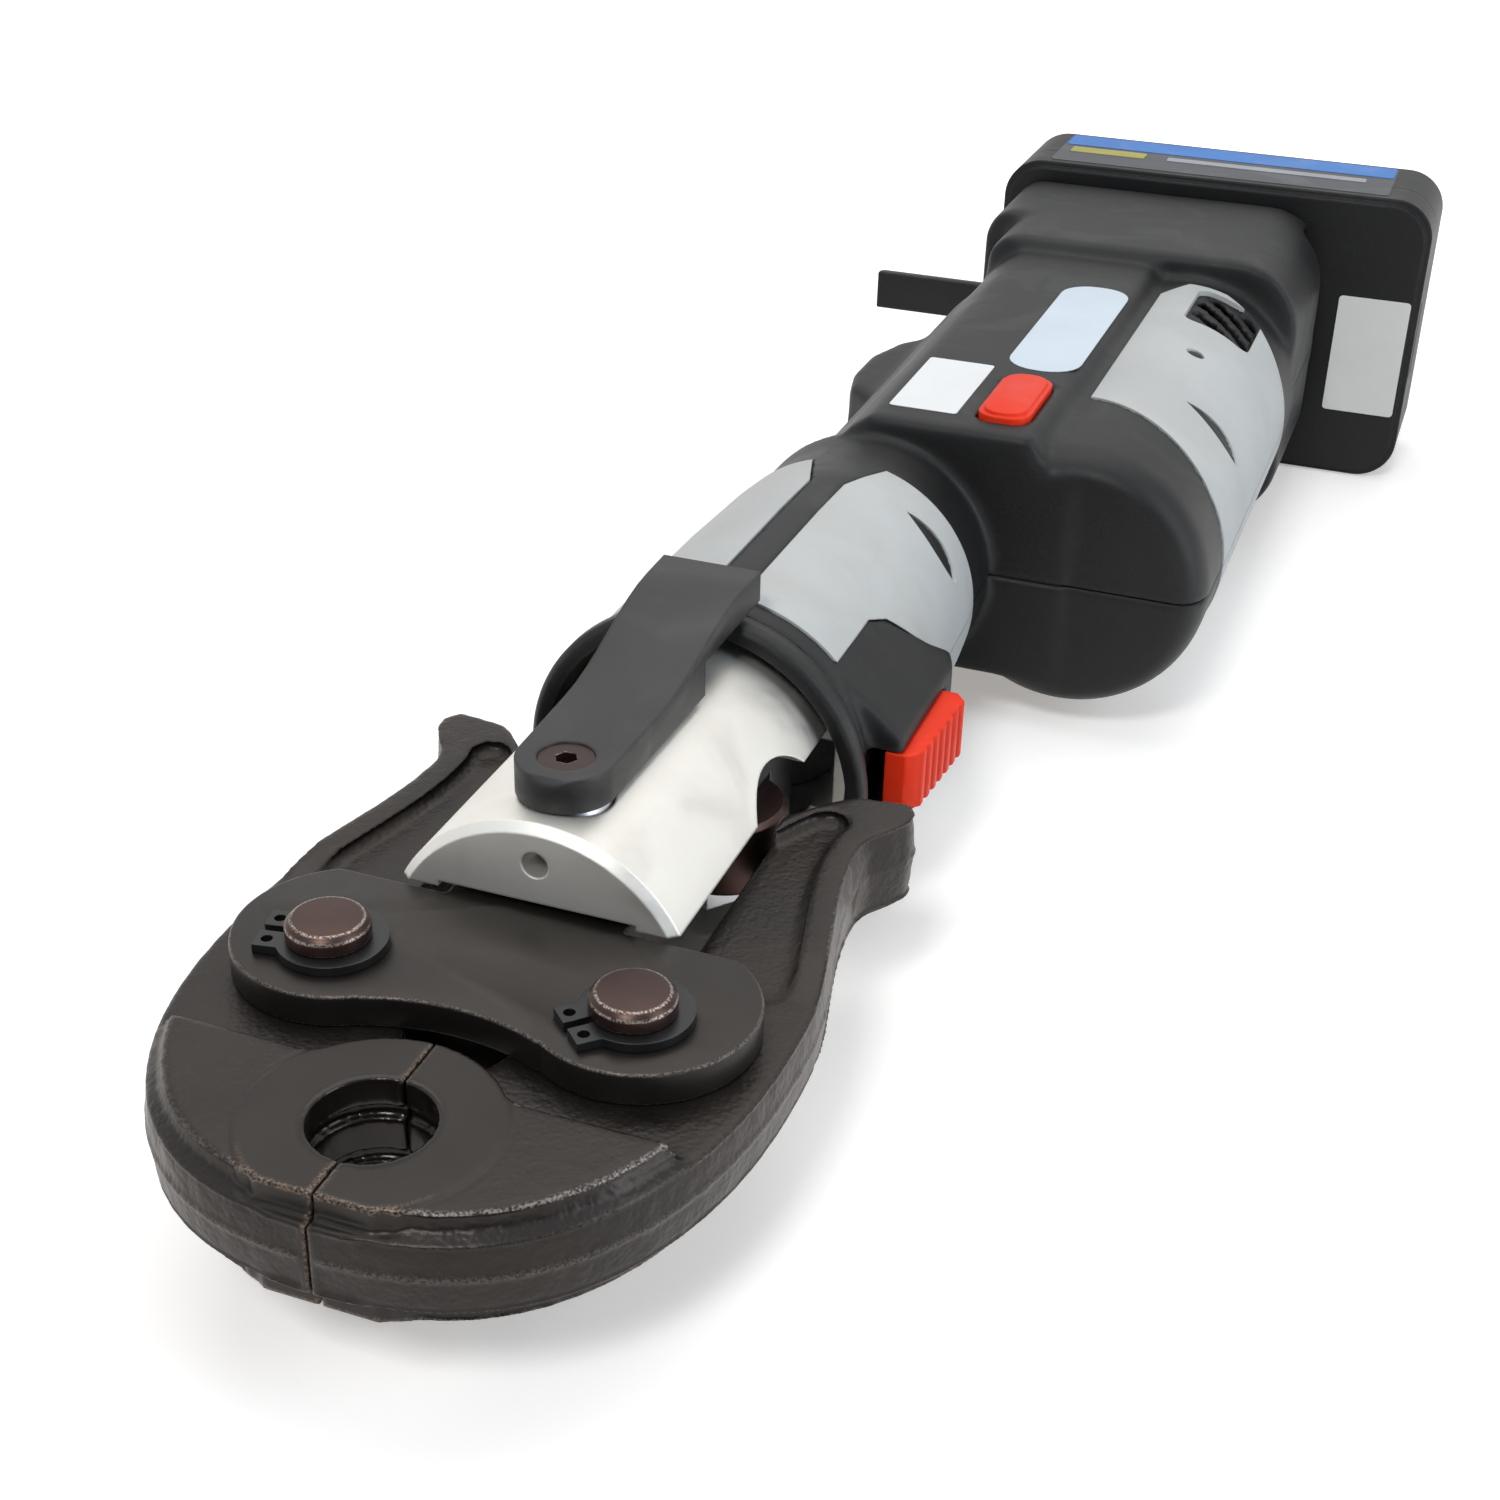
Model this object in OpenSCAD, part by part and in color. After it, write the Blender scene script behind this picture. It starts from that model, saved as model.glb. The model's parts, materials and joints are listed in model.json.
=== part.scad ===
// In-line battery press tool with a two-lever press jaw
// X runs across the tool, Y along its axis from the jaw to the battery, Z up

/* [Press jaw] */
// Diameter of the pressing bore
bore_d = 16.5; // [14:0.5:19]
// Depth of the two press grooves in the bore
groove_depth = 1.1; // [0.6:0.1:1.6]
// Distance from the bore centre to the front of the head
head_front = 17.2; // [15:0.1:18]
// Half width of the jaw at its widest place
jaw_half = 43.4; // [42.4:0.2:46]
// Thickness of the head
head_t = 18; // [16:0.5:20]
// Thickness of the arms
arm_t = 14.6; // [13:0.2:15.4]
// Half width at the waist in front of the tail
waist_half = 36.4; // [36:0.2:39]
// Half width of the tail
tail_half = 41.8; // [40:0.2:43]
// Gap between the closed jaws
split_gap = 0.3; // [0.2:0.05:0.6]

/* [Plates and pins] */
// Distance of the pivot pins from the middle
pin_x = 22.9; // [22.5:0.1:23.5]
// Distance of the pivot pins behind the bore
pin_y = 30; // [29.5:0.1:31]
// Diameter of the pivot pins
pin_d = 12.1; // [11:0.1:13]
// Length of the pivot pins
pin_len = 30.4; // [29:0.2:34]
// Thickness of a side plate
plate_t = 5; // [4.5:0.1:5.4]
// Radius of the rounded ends of a plate
lobe_r = 16.4; // [15.6:0.1:16.6]

/* [Fork] */
// Diameter of the fork
fork_d = 48.8; // [48:0.2:50]
// Width of the deep part of the slot
slot_w = 31; // [30.8:0.1:32]
// Height of the deep part of the slot
slot_h = 23.8; // [23.4:0.1:25]
// Diameter of the round cut through both sides
notch_d = 31; // [28:0.5:33]
// Diameter of the locking pin
lock_d = 14; // [12:0.5:14.5]
// Distance of the locking pin behind the fork face
lock_set = 11.4; // [11:0.1:12]

/* [Lock lever] */
// Width of the lever at its screw
lever_w = 15; // [14:0.2:17]
// Width of the lever at its free end
lever_rear_w = 17; // [15:0.2:19]
// Thickness of the lever
lever_t = 5.4; // [5:0.1:6]
// Distance from the lever's end to the trigger
lever_short = 2; // [1:0.5:4]

/* [Ram] */
// Diameter of the rollers
roller_d = 20.6; // [20:0.1:20.8]
// Height of the rollers
roller_t = 12.4; // [11:0.2:13]
// Travel of the ram
ram_stroke = 24; // [23:0.5:26]
// Diameter of the piston rod
rod_d = 16; // [14:0.5:18]
// Diameter of the piston
piston_d = 33; // [31:0.5:34]
// Length left for the return spring with the jaws closed
spring_room = 15; // [15:0.5:18]

/* [Handle] */
// Wall of the neck
neck_wall = 2.6; // [2.3:0.1:3]
// Height of the lip on the nose ring
nose_lip = 1.7; // [1:0.1:2.4]
// Diameter of the neck where it meets the body
neck_rear_d = 51.2; // [50.4:0.2:53]
// Depth of the seats for the light panels
panel_seat = 1; // [0.8:0.1:1.2]
// Length of the trigger
trigger_len = 26; // [24:0.5:28]
// Height of the trigger
trigger_h = 10.8; // [9:0.2:12]
// Travel of the trigger
trigger_travel = 3; // [2:0.5:3]

/* [Body] */
// Wall of the body
wall = 2.5; // [2.2:0.1:2.8]
// Radius of the body round the tool's axis
main_r = 21.5; // [21:0.1:22.5]
// Height of the flat top over the axis
flat_top = 30; // [29:0.2:31.5]
// Length of the body
body_len = 126; // [126:1:140]
// Distance of the motor from the tool's axis
motor_x = 41; // [40:0.5:43]
// Diameter of the motor barrel
barrel_d = 55; // [54:0.5:58]
// Length of the release button
button_len = 26; // [22:0.5:28]
// Width of the release button
button_w = 10.5; // [9:0.5:11]
// Travel of the release button
button_travel = 2; // [1.5:0.5:2]

/* [Battery] */
// Length of the battery across the tool
battery_len = 111.5; // [106:0.5:120]
// Height of the battery
battery_h = 74.4; // [73:0.2:80]
// Thickness of the battery
battery_t = 36.5; // [34:0.5:40]
// Rounding of the battery's corners
battery_corner = 10; // [6:0.5:14]
// Length of the foot that carries the battery
foot_len = 54; // [52:0.5:60]
// Reach of the hang tab beside the axis
tab_reach = 51; // [44.5:0.5:56]

/* [Fits] */
// Gap of a turning or sliding fit
run_fit = 0.05; // [0.03:0.01:0.08]
// Gap where one piece is seated in another
seat_fit = 0.1; // [0.06:0.02:0.2]
// Gap between pieces that move past each other
clear = 0.3; // [0.25:0.05:0.4]

/* [Hidden] */
$fn = 48;
eps = 0.01;
bore_r = bore_d / 2;
ring_face_r = 17.2;
pin_r = pin_d / 2;
fork_r = fork_d / 2;
plate_top = head_t / 2 + 1.6;
hub_half = plate_top - plate_t - 0.15;
plate_back = pin_y + 18.1;
arm_start = plate_back + 0.6;
fork_face = plate_back + 0.4;
lock_y = fork_face + lock_set;
lock_r = lock_d / 2;
tongue_r = 12.4;
// Rollers and tails
roller_r = roller_d / 2;
roller_x = roller_r + 0.9;
tail_in = roller_x + roller_r + 0.4;
flare_y = pin_y + 61.5;
roller_y = flare_y + 4;
tail_end = flare_y + 12.5;
roller_pin_r = 3.2;
yoke_half_x = roller_x + roller_pin_r + 0.8;
yoke_half_z = min(slot_h / 2 - 0.6, plate_top + 0.3);
yoke_front = roller_y - 7;
yoke_step = roller_y + roller_r + 0.6;
yoke_rear = yoke_step + 11;
arm_slot_h = 2 * plate_top + 0.8;
slot_rear = yoke_rear + 2;
fork_rear = yoke_rear + ram_stroke + 1;
fork_bore_r = norm([yoke_half_x, yoke_half_z]) + 0.5;
roller_room = roller_x + roller_r + 0.5;
roller_back = roller_y + ram_stroke + roller_r + 0.6;
// Nose and neck
tail_reach = pin_y + norm([tail_half - 2 - pin_x, tail_end - pin_y]);
nose_front = tail_reach + 4.4;
bush_t = 1.15;
bush_r = fork_r + run_fit + bush_t;
neck_bore = bush_r + run_fit;
neck_r = neck_bore + neck_wall;
nose_r = neck_r + nose_lip;
neck_front = nose_front + 7.5;
bush_front = neck_front + 4;
ring_y = fork_rear - 4.2;
cyl_front = fork_rear + 0.6;
cyl_flange = 4.6;
gland_t = 9.4;
cyl_in = cyl_front + gland_t;
rod_r = rod_d / 2;
piston_r = piston_d / 2;
piston_front = cyl_in + spring_room;
piston_t = 12;
cyl_rear = piston_front + piston_t + ram_stroke + 2;
neck_rear_r = neck_rear_d / 2;
cyl_r = min(22.4, neck_rear_r - 3);
body_front = cyl_rear + 3.1;
neck_len = body_front - neck_front;
// Lever
lever_low = fork_r + clear;
lever_top = lever_low + lever_t;
lever_over = nose_r + 0.5;
trigger_front = nose_front + 11;
lever_end = trigger_front - lever_short;
lever_block = nose_front - 16;
lever_high = lever_over + lever_t + 0.2;
// Trigger housing
hump_out = neck_r + 5;
pocket_in = neck_bore + 1.2;
skirt_in = pocket_in + trigger_travel + clear;
skirt_out = skirt_in + 1.2;
trigger_out = hump_out + 3.6;
trigger_rear = trigger_front + trigger_len;
hump_rear = trigger_rear + 20;
hump_half = 19;
// Body
main_in = main_r - wall;
barrel_r = barrel_d / 2;
barrel_in = barrel_r - wall;
body_rear = body_front + body_len;
block_rear = body_front + 38;
foot_rear = body_rear + foot_len;
foot_x0 = -16;
foot_x1 = motor_x + 26;
foot_z = flat_top + 3;
shoe_half = 24.6;
shoe_neck = 21.4;
shoe_x0 = foot_x0 + 7;
shoe_x1 = foot_x1 - 8;
rail_y = foot_rear - 7.6;
shoe_y = rail_y + 3.2;
button_x = 23.6;
button_y = body_front + 20;
button_top = flat_top + 1.6;
ecc_y = body_front + 17.5;
ecc_r = 7;
ecc_e = 1.2;
gear_y = body_front + 31;
box_front = body_front + 24;
box_rear = gear_y + 13.5;
motor_r = barrel_in - 3.2;
motor_rear = body_rear - 11.5;
fan_r = motor_r - 3.8;
fan_y = motor_rear + 2;
shaft_r = 2.5;
// Battery
battery_y = foot_rear + 1.4;
battery_x0 = -20;
battery_x1 = battery_x0 + battery_len;
battery_half = battery_h / 2;
battery_mid = battery_y + 13;
battery_rear = battery_y + battery_t;
cell_r = 9.15;
cell_half = 32.5;
cell_y = battery_rear - 2.7 - cell_r;
cell_mid = (battery_x0 + battery_x1) / 2;
// Gears
sun_teeth = 12;
planet_teeth = 18;
ring_teeth = sun_teeth + 2 * planet_teeth;
gearbox_wall = 2.8;
ring_wall = 2;
ring_out_r = barrel_in - gearbox_wall;
gear_module = (ring_out_r - ring_wall) / (ring_teeth / 2 + 1.25);
planet_orbit = gear_module * (sun_teeth + planet_teeth) / 2;
gear_w = 10;
// Frame of the row: middle of the box in X and Y, lowest face in Z
x_mid = (battery_x1 - tab_reach) / 2;
y_mid = (battery_rear - head_front) / 2;

// Pieces drawn by name

// Helpers

module place() {
  translate([-x_mid, -y_mid, battery_half]) children();
}

// Cylinder along Y
module rod_y(y0, y1, r, x = 0, z = 0) {
  translate([x, y0, z]) rotate([-90, 0, 0]) cylinder(h = y1 - y0, r = r);
}

// Cylinder along X
module rod_x(x0, x1, r, y, z = 0) {
  translate([x0, y, z]) rotate([0, 90, 0]) cylinder(h = x1 - x0, r = r);
}

// Cylinder along Z
module rod_z(z0, z1, r, x, y) {
  translate([x, y, z0]) cylinder(h = z1 - z0, r = r);
}

// Body turned about a line along Y, from points of radius and Y
module turned(points, x = 0) {
  translate([x, 0, 0]) rotate([-90, 0, 0]) rotate_extrude() polygon(points);
}

module ring_y_body(y0, y1, r_in, r_out, x = 0) {
  turned([[r_in, y0], [r_out, y0], [r_out, y1], [r_in, y1]], x);
}

// Outline in X and Z pushed along Y
module along_y(y0, y1) {
  translate([0, y1, 0]) rotate([90, 0, 0]) linear_extrude(y1 - y0) children();
}

// Outline in Y and Z pushed along X
module along_x(x0, x1) {
  translate([x0, 0, 0]) rotate([90, 0, 90]) linear_extrude(x1 - x0) children();
}

// Outline in X and Y pushed along Z
module along_z(z0, z1) {
  translate([0, 0, z0]) linear_extrude(z1 - z0) children();
}

module box(x0, x1, y0, y1, z0, z1) {
  translate([x0, y0, z0]) cube([x1 - x0, y1 - y0, z1 - z0]);
}

module rounded(x0, x1, y0, y1, r) {
  union() {
    translate([x0 + r, y0]) square([x1 - x0 - 2 * r, y1 - y0]);
    translate([x0, y0 + r]) square([x1 - x0, y1 - y0 - 2 * r]);
    for (x = [x0 + r, x1 - r]) for (y = [y0 + r, y1 - r]) translate([x, y]) circle(r);
  }
}

// Coil of wire along Z from zero to its length, as one tube
module coil(mean_r, wire_r, length, turns) {
  sides = 6;
  rings = ceil(turns * 8);
  rise = (length - 2 * wire_r) / turns;
  echo(str("coil gap ", rise - 2 * wire_r));
  lean = atan(rise / (2 * PI * mean_r));
  points = [
    for (i = [0 : rings]) let (a = 360 * turns * i / rings) for (k = [0 : sides - 1])
      let (
        b = 360 * k / sides,
        r = mean_r + wire_r * cos(b),
        s = wire_r * sin(b)
      )
      [r * cos(a) + s * sin(lean) * sin(a), r * sin(a) - s * sin(lean) * cos(a),
       wire_r + rise * a / 360 + s * cos(lean)]
  ];
  walls = [
    for (i = [0 : rings - 1]) for (k = [0 : sides - 1])
      let (p = i * sides + k, q = i * sides + (k + 1) % sides)
      each [[p, p + sides, q + sides], [p, q + sides, q]]
  ];
  last = rings * sides;
  ends = [
    for (k = [1 : sides - 2])
      each [[0, k, k + 1], [last, last + k + 1, last + k]]
  ];
  polyhedron(points, concat(walls, ends), convexity = 8);
}

// Outline of a gear with straight-sided flanks on an involute
function inv(a) = tan(a) * 180 / PI - a;
function gear_points(teeth, add, ded, thin) =
  let (
    pitch = gear_module * teeth / 2,
    base = pitch * cos(25),
    tip = pitch + add,
    root = pitch - ded,
    half = 90 / teeth - thin / pitch * 90 / PI + inv(25),
    low = max(root, base),
    start = half - inv(acos(base / low))
  )
  [
    for (i = [0 : teeth - 1]) let (c = 360 * i / teeth)
      each concat(
        root < low ? [[root * cos(c - start), root * sin(c - start)]] : [],
        [for (k = [0 : 3]) let (r = low + (tip - low) * k / 3, a = half - inv(acos(base / r)))
          [r * cos(c - a), r * sin(c - a)]],
        [for (k = [3 : -1 : 0]) let (r = low + (tip - low) * k / 3, a = half - inv(acos(base / r)))
          [r * cos(c + a), r * sin(c + a)]],
        root < low ? [[root * cos(c + start), root * sin(c + start)]] : []
      )
  ];

// Press jaw

jaw_wide_y = pin_y + 12;
function jaw_front(a, b) = concat([[split_gap / 2, jaw_wide_y - b]], [
  for (t = [6 : 6 : 90])
    [a * pow(sin(t), 2 / 2.4), jaw_wide_y - b * pow(cos(t), 2 / 2.4)]
]);
jaw_waist_y = flare_y - 3.5;
function side_x(y) =
  waist_half + (jaw_half - waist_half) * (1 + cos(180 * (y - jaw_wide_y) / (jaw_waist_y - jaw_wide_y))) / 2;
function jaw_side() = [
  for (i = [1 : 8]) let (y = jaw_wide_y + (jaw_waist_y - jaw_wide_y) * i / 8) [side_x(y), y]
];
function jaw_tail() = [
  [waist_half + 0.8, flare_y - 0.5],
  [tail_half - 2.2, flare_y + 3],
  [tail_half - 0.3, flare_y + 6.5],
  [tail_half, flare_y + 9.5],
  [tail_half - 2, tail_end],
  [tail_in + 9, tail_end - 1.2],
  [tail_in + 6.6, flare_y + 9.2],
  [tail_in + 3.4, flare_y + 5.4],
  [tail_in + 2.1, flare_y + 3.7],
  [tail_in + 0.8, flare_y + 2.1],
  [tail_in, flare_y + 0.6]
];
function jaw_inner() = [
  [tail_in, plate_back + 6],
  [tail_in - 2.5, plate_back + 1],
  [pin_x - 9.5, pin_y + 13],
  [pin_x - 12.5, pin_y + 8],
  [pin_x - 14, pin_y + 2],
  [pin_x - 14.5, pin_y - 4],
  [pin_x - 16, pin_y - 9],
  [ring_face_r * 0.3, ring_face_r * 1.02],
  [split_gap / 2, ring_face_r]
];

module jaw_outline() {
  polygon(concat(jaw_front(jaw_half, jaw_wide_y + head_front), jaw_side(), jaw_tail(), jaw_inner()));
}

// Raised face of the head, drawn in from the rim by an inset at the side and a ledge in front
front_ledge = 2;
module head_face(inset) {
  intersection() {
    polygon(concat(jaw_front(jaw_half - inset, jaw_wide_y + head_front - front_ledge),
      [[split_gap / 2, jaw_wide_y]]));
    translate([0, -30]) square([60, 30 + pin_y - lobe_r - 3]);
  }
}

// Machined ring round the bore
module ring_face() {
  intersection() {
    circle(ring_face_r);
    translate([split_gap / 2, front_ledge - head_front]) square([30, 60]);
  }
}

// Web of the arm, between the rim along its outer side and its open inner edge
rim_w = 5;
web_half = arm_t / 2 - 2.4;
function web_wall() = [
  for (i = [0 : 7]) let (y = plate_back + 1 + (flare_y - plate_back - 3) * i / 7) [side_x(y) - rim_w, y]
];
module arm_web() {
  polygon(concat(
    [[5, plate_back - 4.5], [pin_x + 8, plate_back - 4.5], [pin_x + 12, plate_back - 2.5]],
    web_wall(),
    [[tail_in + 10.4, flare_y + 2.4], [tail_in + 9.3, flare_y + 4.6], [tail_in + 7, flare_y + 5.4],
      [tail_in + 4.8, flare_y + 4], [tail_in + 3, flare_y + 0.6], [tail_in + 0.8, flare_y - 4],
      [tail_in - 2, flare_y - 6], [5, flare_y - 6]]
  ));
}

module jaw() {
  difference() {
    union() {
      along_z(-hub_half, hub_half) jaw_outline();
      along_z(1.8 - head_t / 2, head_t / 2 - 1.8) head_face(1.4);
      along_z(0.25 - head_t / 2, head_t / 2 - 0.25) head_face(2.6);
      along_z(-head_t / 2, head_t / 2) ring_face();
      // Arm behind the plates, rising from the hub to its full thickness
      intersection() {
        along_z(-arm_t / 2, arm_t / 2) jaw_outline();
        along_x(0, 60) polygon([[arm_start, hub_half], [arm_start + 9, arm_t / 2], [tail_end + 5, arm_t / 2],
          [tail_end + 5, -arm_t / 2], [arm_start + 9, -arm_t / 2], [arm_start, -hub_half]]);
      }
    }
    rod_z(-20, 20, bore_r, 0, 0);
    for (z = [-3.6, 3.6]) rod_z(z - 1.1, z + 1.1, bore_r + groove_depth, 0, 0);
    rod_z(-20, 20, pin_r + run_fit, pin_x, pin_y);
    rod_x(-1, pin_x - 9.5, 4.4, pin_y + 8.5);
    for (m = [0, 1]) mirror([0, 0, m]) along_z(web_half, arm_t) arm_web();
  }
}

module jaw_right() {
  color([0.2, 0.18, 0.17]) jaw();
}

module jaw_left() {
  color([0.2, 0.18, 0.17]) mirror([1, 0, 0]) jaw();
}

// Side plates, pins and circlips

// The hollow in the plate's front edge is an arc that all but touches both lobes
lobe_x = pin_x - 0.4;
lobe_y = pin_y + 4.2;
plate_mid = pin_y - 6.9;
hollow_y = (pow(lobe_r + plate_mid, 2) - pow(lobe_x, 2) - pow(lobe_y, 2)) / (2 * (lobe_r + plate_mid - lobe_y));
hollow_r = plate_mid - hollow_y;
touch = hollow_r / (hollow_r + lobe_r);
touch_y = hollow_y + (lobe_y - hollow_y) * touch;

module plate_outline() {
  difference() {
    union() {
      for (s = [-1, 1]) translate([s * lobe_x, lobe_y]) circle(lobe_r);
      translate([-pin_x - 1, pin_y + 4]) square([2 * pin_x + 2, plate_back - pin_y - 4]);
      translate([-lobe_x * touch, touch_y + 1]) square([2 * lobe_x * touch, 20]);
      translate([-14, plate_back - 6]) square([28, lock_y - plate_back + 1]);
      translate([0, lock_y]) circle(tongue_r);
    }
    translate([0, hollow_y]) circle(hollow_r - 0.05);
    translate([-60, plate_back]) square([46, 40]);
    translate([14, plate_back]) square([46, 40]);
    for (s = [-1, 1]) translate([s * pin_x, pin_y]) circle(pin_r + run_fit);
    translate([0, lock_y]) circle(lock_r + run_fit);
  }
}

module plate_upper() {
  color([0.12, 0.11, 0.11]) along_z(plate_top - plate_t, plate_top) plate_outline();
}

module plate_lower() {
  color([0.12, 0.11, 0.11]) along_z(-plate_top, -plate_top + plate_t) plate_outline();
}

clip_t = 1.4;
clip_z = plate_top + 0.1;

module pivot_pin(x) {
  translate([x, pin_y, 0]) rotate_extrude() polygon([
    [0, -pin_len / 2], [pin_r - 0.9, -pin_len / 2], [pin_r, -pin_len / 2 + 0.9],
    [pin_r, -clip_z - clip_t - 0.1], [pin_r - 0.7, -clip_z - clip_t - 0.1], [pin_r - 0.7, -clip_z],
    [pin_r, -clip_z], [pin_r, clip_z], [pin_r - 0.7, clip_z],
    [pin_r - 0.7, clip_z + clip_t + 0.1], [pin_r, clip_z + clip_t + 0.1],
    [pin_r, pin_len / 2 - 0.9], [pin_r - 0.9, pin_len / 2], [0, pin_len / 2]
  ]);
}

module pivot_pin_left() {
  color([0.25, 0.2, 0.17]) pivot_pin(-pin_x);
}

module pivot_pin_right() {
  color([0.25, 0.2, 0.17]) pivot_pin(pin_x);
}

module circlip(turn) {
  rotate([0, 0, turn]) linear_extrude(clip_t) difference() {
    union() {
      translate([-0.5, 0]) circle(pin_r + 1.9);
      for (s = [-1, 1]) translate([pin_r - 1, s * 2.55 - 1.85]) square([4.6, 3.7]);
    }
    circle(pin_r - 0.65);
    translate([0, -0.7]) square([pin_r + 8, 1.4]);
    for (s = [-1, 1]) translate([pin_r + 2, s * 2.6]) circle(0.85);
  }
}

module pin_circlips() {
  color([0.15, 0.14, 0.14]) for (s = [-1, 1]) {
    translate([s * pin_x, pin_y, clip_z]) circlip(s < 0 ? 190 : 225);
    translate([s * pin_x, pin_y, -clip_z - clip_t]) circlip(s < 0 ? 190 : 225);
  }
}

module jaw_spring() {
  half = pin_x - 10.2;
  color([0.6, 0.6, 0.62]) translate([-half, pin_y + 8.5, 0]) rotate([0, 90, 0])
    coil(3, 0.7, 2 * half, 8);
}

// Fork and its lock

module fork() {
  color([0.78, 0.79, 0.8]) difference() {
    turned([[0, fork_face], [fork_r - 1.3, fork_face], [fork_r, fork_face + 1.3], [fork_r, ring_y],
      [fork_r - 1.2, ring_y], [fork_r - 1.2, ring_y + 2], [fork_r, ring_y + 2], [fork_r, fork_rear],
      [0, fork_rear]]);
    box(-slot_w / 2, slot_w / 2, fork_face - 5, slot_rear + 2, -slot_h / 2, slot_h / 2);
    box(-40, 40, fork_face - 5, slot_rear, -arm_slot_h / 2, arm_slot_h / 2);
    rod_y(yoke_step - 5, fork_rear + 5, fork_bore_r);
    // Room for the rollers at the end of their way
    box(-roller_room, roller_room, yoke_step, roller_back, -roller_t / 2 - 0.5, roller_t / 2 + 0.5);
    rod_x(-40, 40, notch_d / 2, roller_y - 3);
    rod_z(-40, 40, lock_r + run_fit, 0, lock_y);
    rod_y(fork_face - 5, fork_face + 8, 2.1, 0, plate_top + 7.6);
  }
}

module retaining_ring() {
  color([0.55, 0.56, 0.58])
    ring_y_body(ring_y + 0.1, ring_y + 1.9, fork_r - 1.1, fork_r + run_fit + 0.7);
}

pin_head = lever_low - 0.2;
screw_r = 2.5;
screw_head_r = 4.2;

module locking_pin() {
  color([0.5, 0.5, 0.52]) difference() {
    translate([0, lock_y, 0]) rotate_extrude() polygon([[0, -fork_r], [lock_r - 1.5, -fork_r],
      [lock_r, -fork_r + 1.5], [lock_r, pin_head - 2], [lock_r - 1, pin_head], [0, pin_head]]);
    rod_z(pin_head - 12, pin_head + 5, screw_r + 0.02, 0, lock_y);
  }
}

module lever_screw() {
  color([0.45, 0.45, 0.47]) difference() {
    translate([0, lock_y, 0]) rotate_extrude() polygon([[0, pin_head - 11], [screw_r, pin_head - 11],
      [screw_r, lever_top - 2.4], [screw_head_r, lever_top - 0.7], [screw_head_r, lever_top - 0.3],
      [0, lever_top - 0.3]]);
    translate([0, lock_y, lever_top - 2.5]) cylinder(h = 5, r = 1.75, $fn = 6);
  }
}

// Side view of the lever in Y and Z
module lever_side() {
  front = lock_y - lever_w / 2;
  rise = [for (i = [0 : 8]) let (s = i / 8)
    [lever_block - 18 + 34 * s, lever_top + (lever_high - lever_top) * (1 - cos(180 * s)) / 2]];
  polygon(concat([[front, lever_low], [lever_block, lever_low], [lever_block, lever_over],
    [lever_end, lever_over + 0.4], [lever_end, lever_high - 1], [lever_end - 1.5, lever_high]],
    [for (i = [8 : -1 : 0]) rise[i]], [[front + 1, lever_top], [front, lever_top - 1]]));
}

module lock_lever() {
  color([0.09, 0.09, 0.1]) difference() {
    intersection() {
      along_x(-20, 20) lever_side();
      along_z(0, 60) union() {
        translate([0, lock_y]) circle(lever_w / 2);
        polygon([[-lever_w / 2, lock_y], [lever_w / 2, lock_y], [lever_rear_w / 2, lever_end - 1.5],
          [lever_rear_w / 2 - 1.5, lever_end], [-lever_rear_w / 2 + 1.5, lever_end],
          [-lever_rear_w / 2, lever_end - 1.5]]);
      }
    }
    translate([0, lock_y, 0]) rotate_extrude() polygon([[0, lever_low - 5],
      [screw_r + run_fit, lever_low - 5], [screw_r + run_fit, lever_top - 2.5],
      [screw_head_r + run_fit, lever_top - 0.8], [screw_head_r + run_fit, lever_top + 5],
      [0, lever_top + 5]]);
  }
}

// Ram with its rollers

module roller(x) {
  half = roller_t / 2;
  translate([x, roller_y, 0]) rotate_extrude() polygon([[roller_pin_r + run_fit, -half],
    [roller_r - 0.8, -half], [roller_r, -half + 0.8], [roller_r, half - 0.8], [roller_r - 0.8, half],
    [roller_pin_r + run_fit, half]]);
}

module roller_left() {
  color([0.36, 0.27, 0.23]) roller(-roller_x);
}

module roller_right() {
  color([0.36, 0.27, 0.23]) roller(roller_x);
}

module roller_pins() {
  color([0.5, 0.5, 0.52]) for (s = [-1, 1])
    rod_z(-yoke_half_z, yoke_half_z, roller_pin_r, s * roller_x, roller_y);
}

module ram_head() {
  inner = roller_t / 2 + 0.2;
  color([0.42, 0.42, 0.44]) difference() {
    union() {
      for (s = [0, 1]) mirror([0, 0, s]) along_z(inner, yoke_half_z) polygon([
        [-roller_x, yoke_front], [roller_x, yoke_front], [yoke_half_x, roller_y - 2],
        [yoke_half_x, yoke_rear], [-yoke_half_x, yoke_rear], [-yoke_half_x, roller_y - 2]
      ]);
      box(-yoke_half_x, yoke_half_x, yoke_step, yoke_rear, -yoke_half_z, yoke_half_z);
    }
    for (s = [-1, 1]) rod_z(-30, 30, roller_pin_r + 0.02, s * roller_x, roller_y);
    rod_y(yoke_rear - 7, yoke_rear + 5, rod_r * 0.6 + 0.02);
  }
}

module piston_rod() {
  color([0.75, 0.76, 0.78]) turned([[0, yoke_rear - 6.5], [rod_r * 0.6, yoke_rear - 6.5],
    [rod_r * 0.6, yoke_rear], [rod_r, yoke_rear], [rod_r, piston_front], [0, piston_front]]);
}

module piston() {
  color([0.6, 0.6, 0.62]) turned([[0, piston_front], [piston_r - run_fit, piston_front],
    [piston_r - run_fit, piston_front + 4.5], [piston_r - 2, piston_front + 4.5],
    [piston_r - 2, piston_front + 7.5], [piston_r - run_fit, piston_front + 7.5],
    [piston_r - run_fit, piston_front + piston_t], [0, piston_front + piston_t]]);
}

module piston_seal() {
  color([0.1, 0.1, 0.1])
    ring_y_body(piston_front + 4.6, piston_front + 7.4, piston_r - 2, piston_r - run_fit * 0.6);
}

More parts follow.
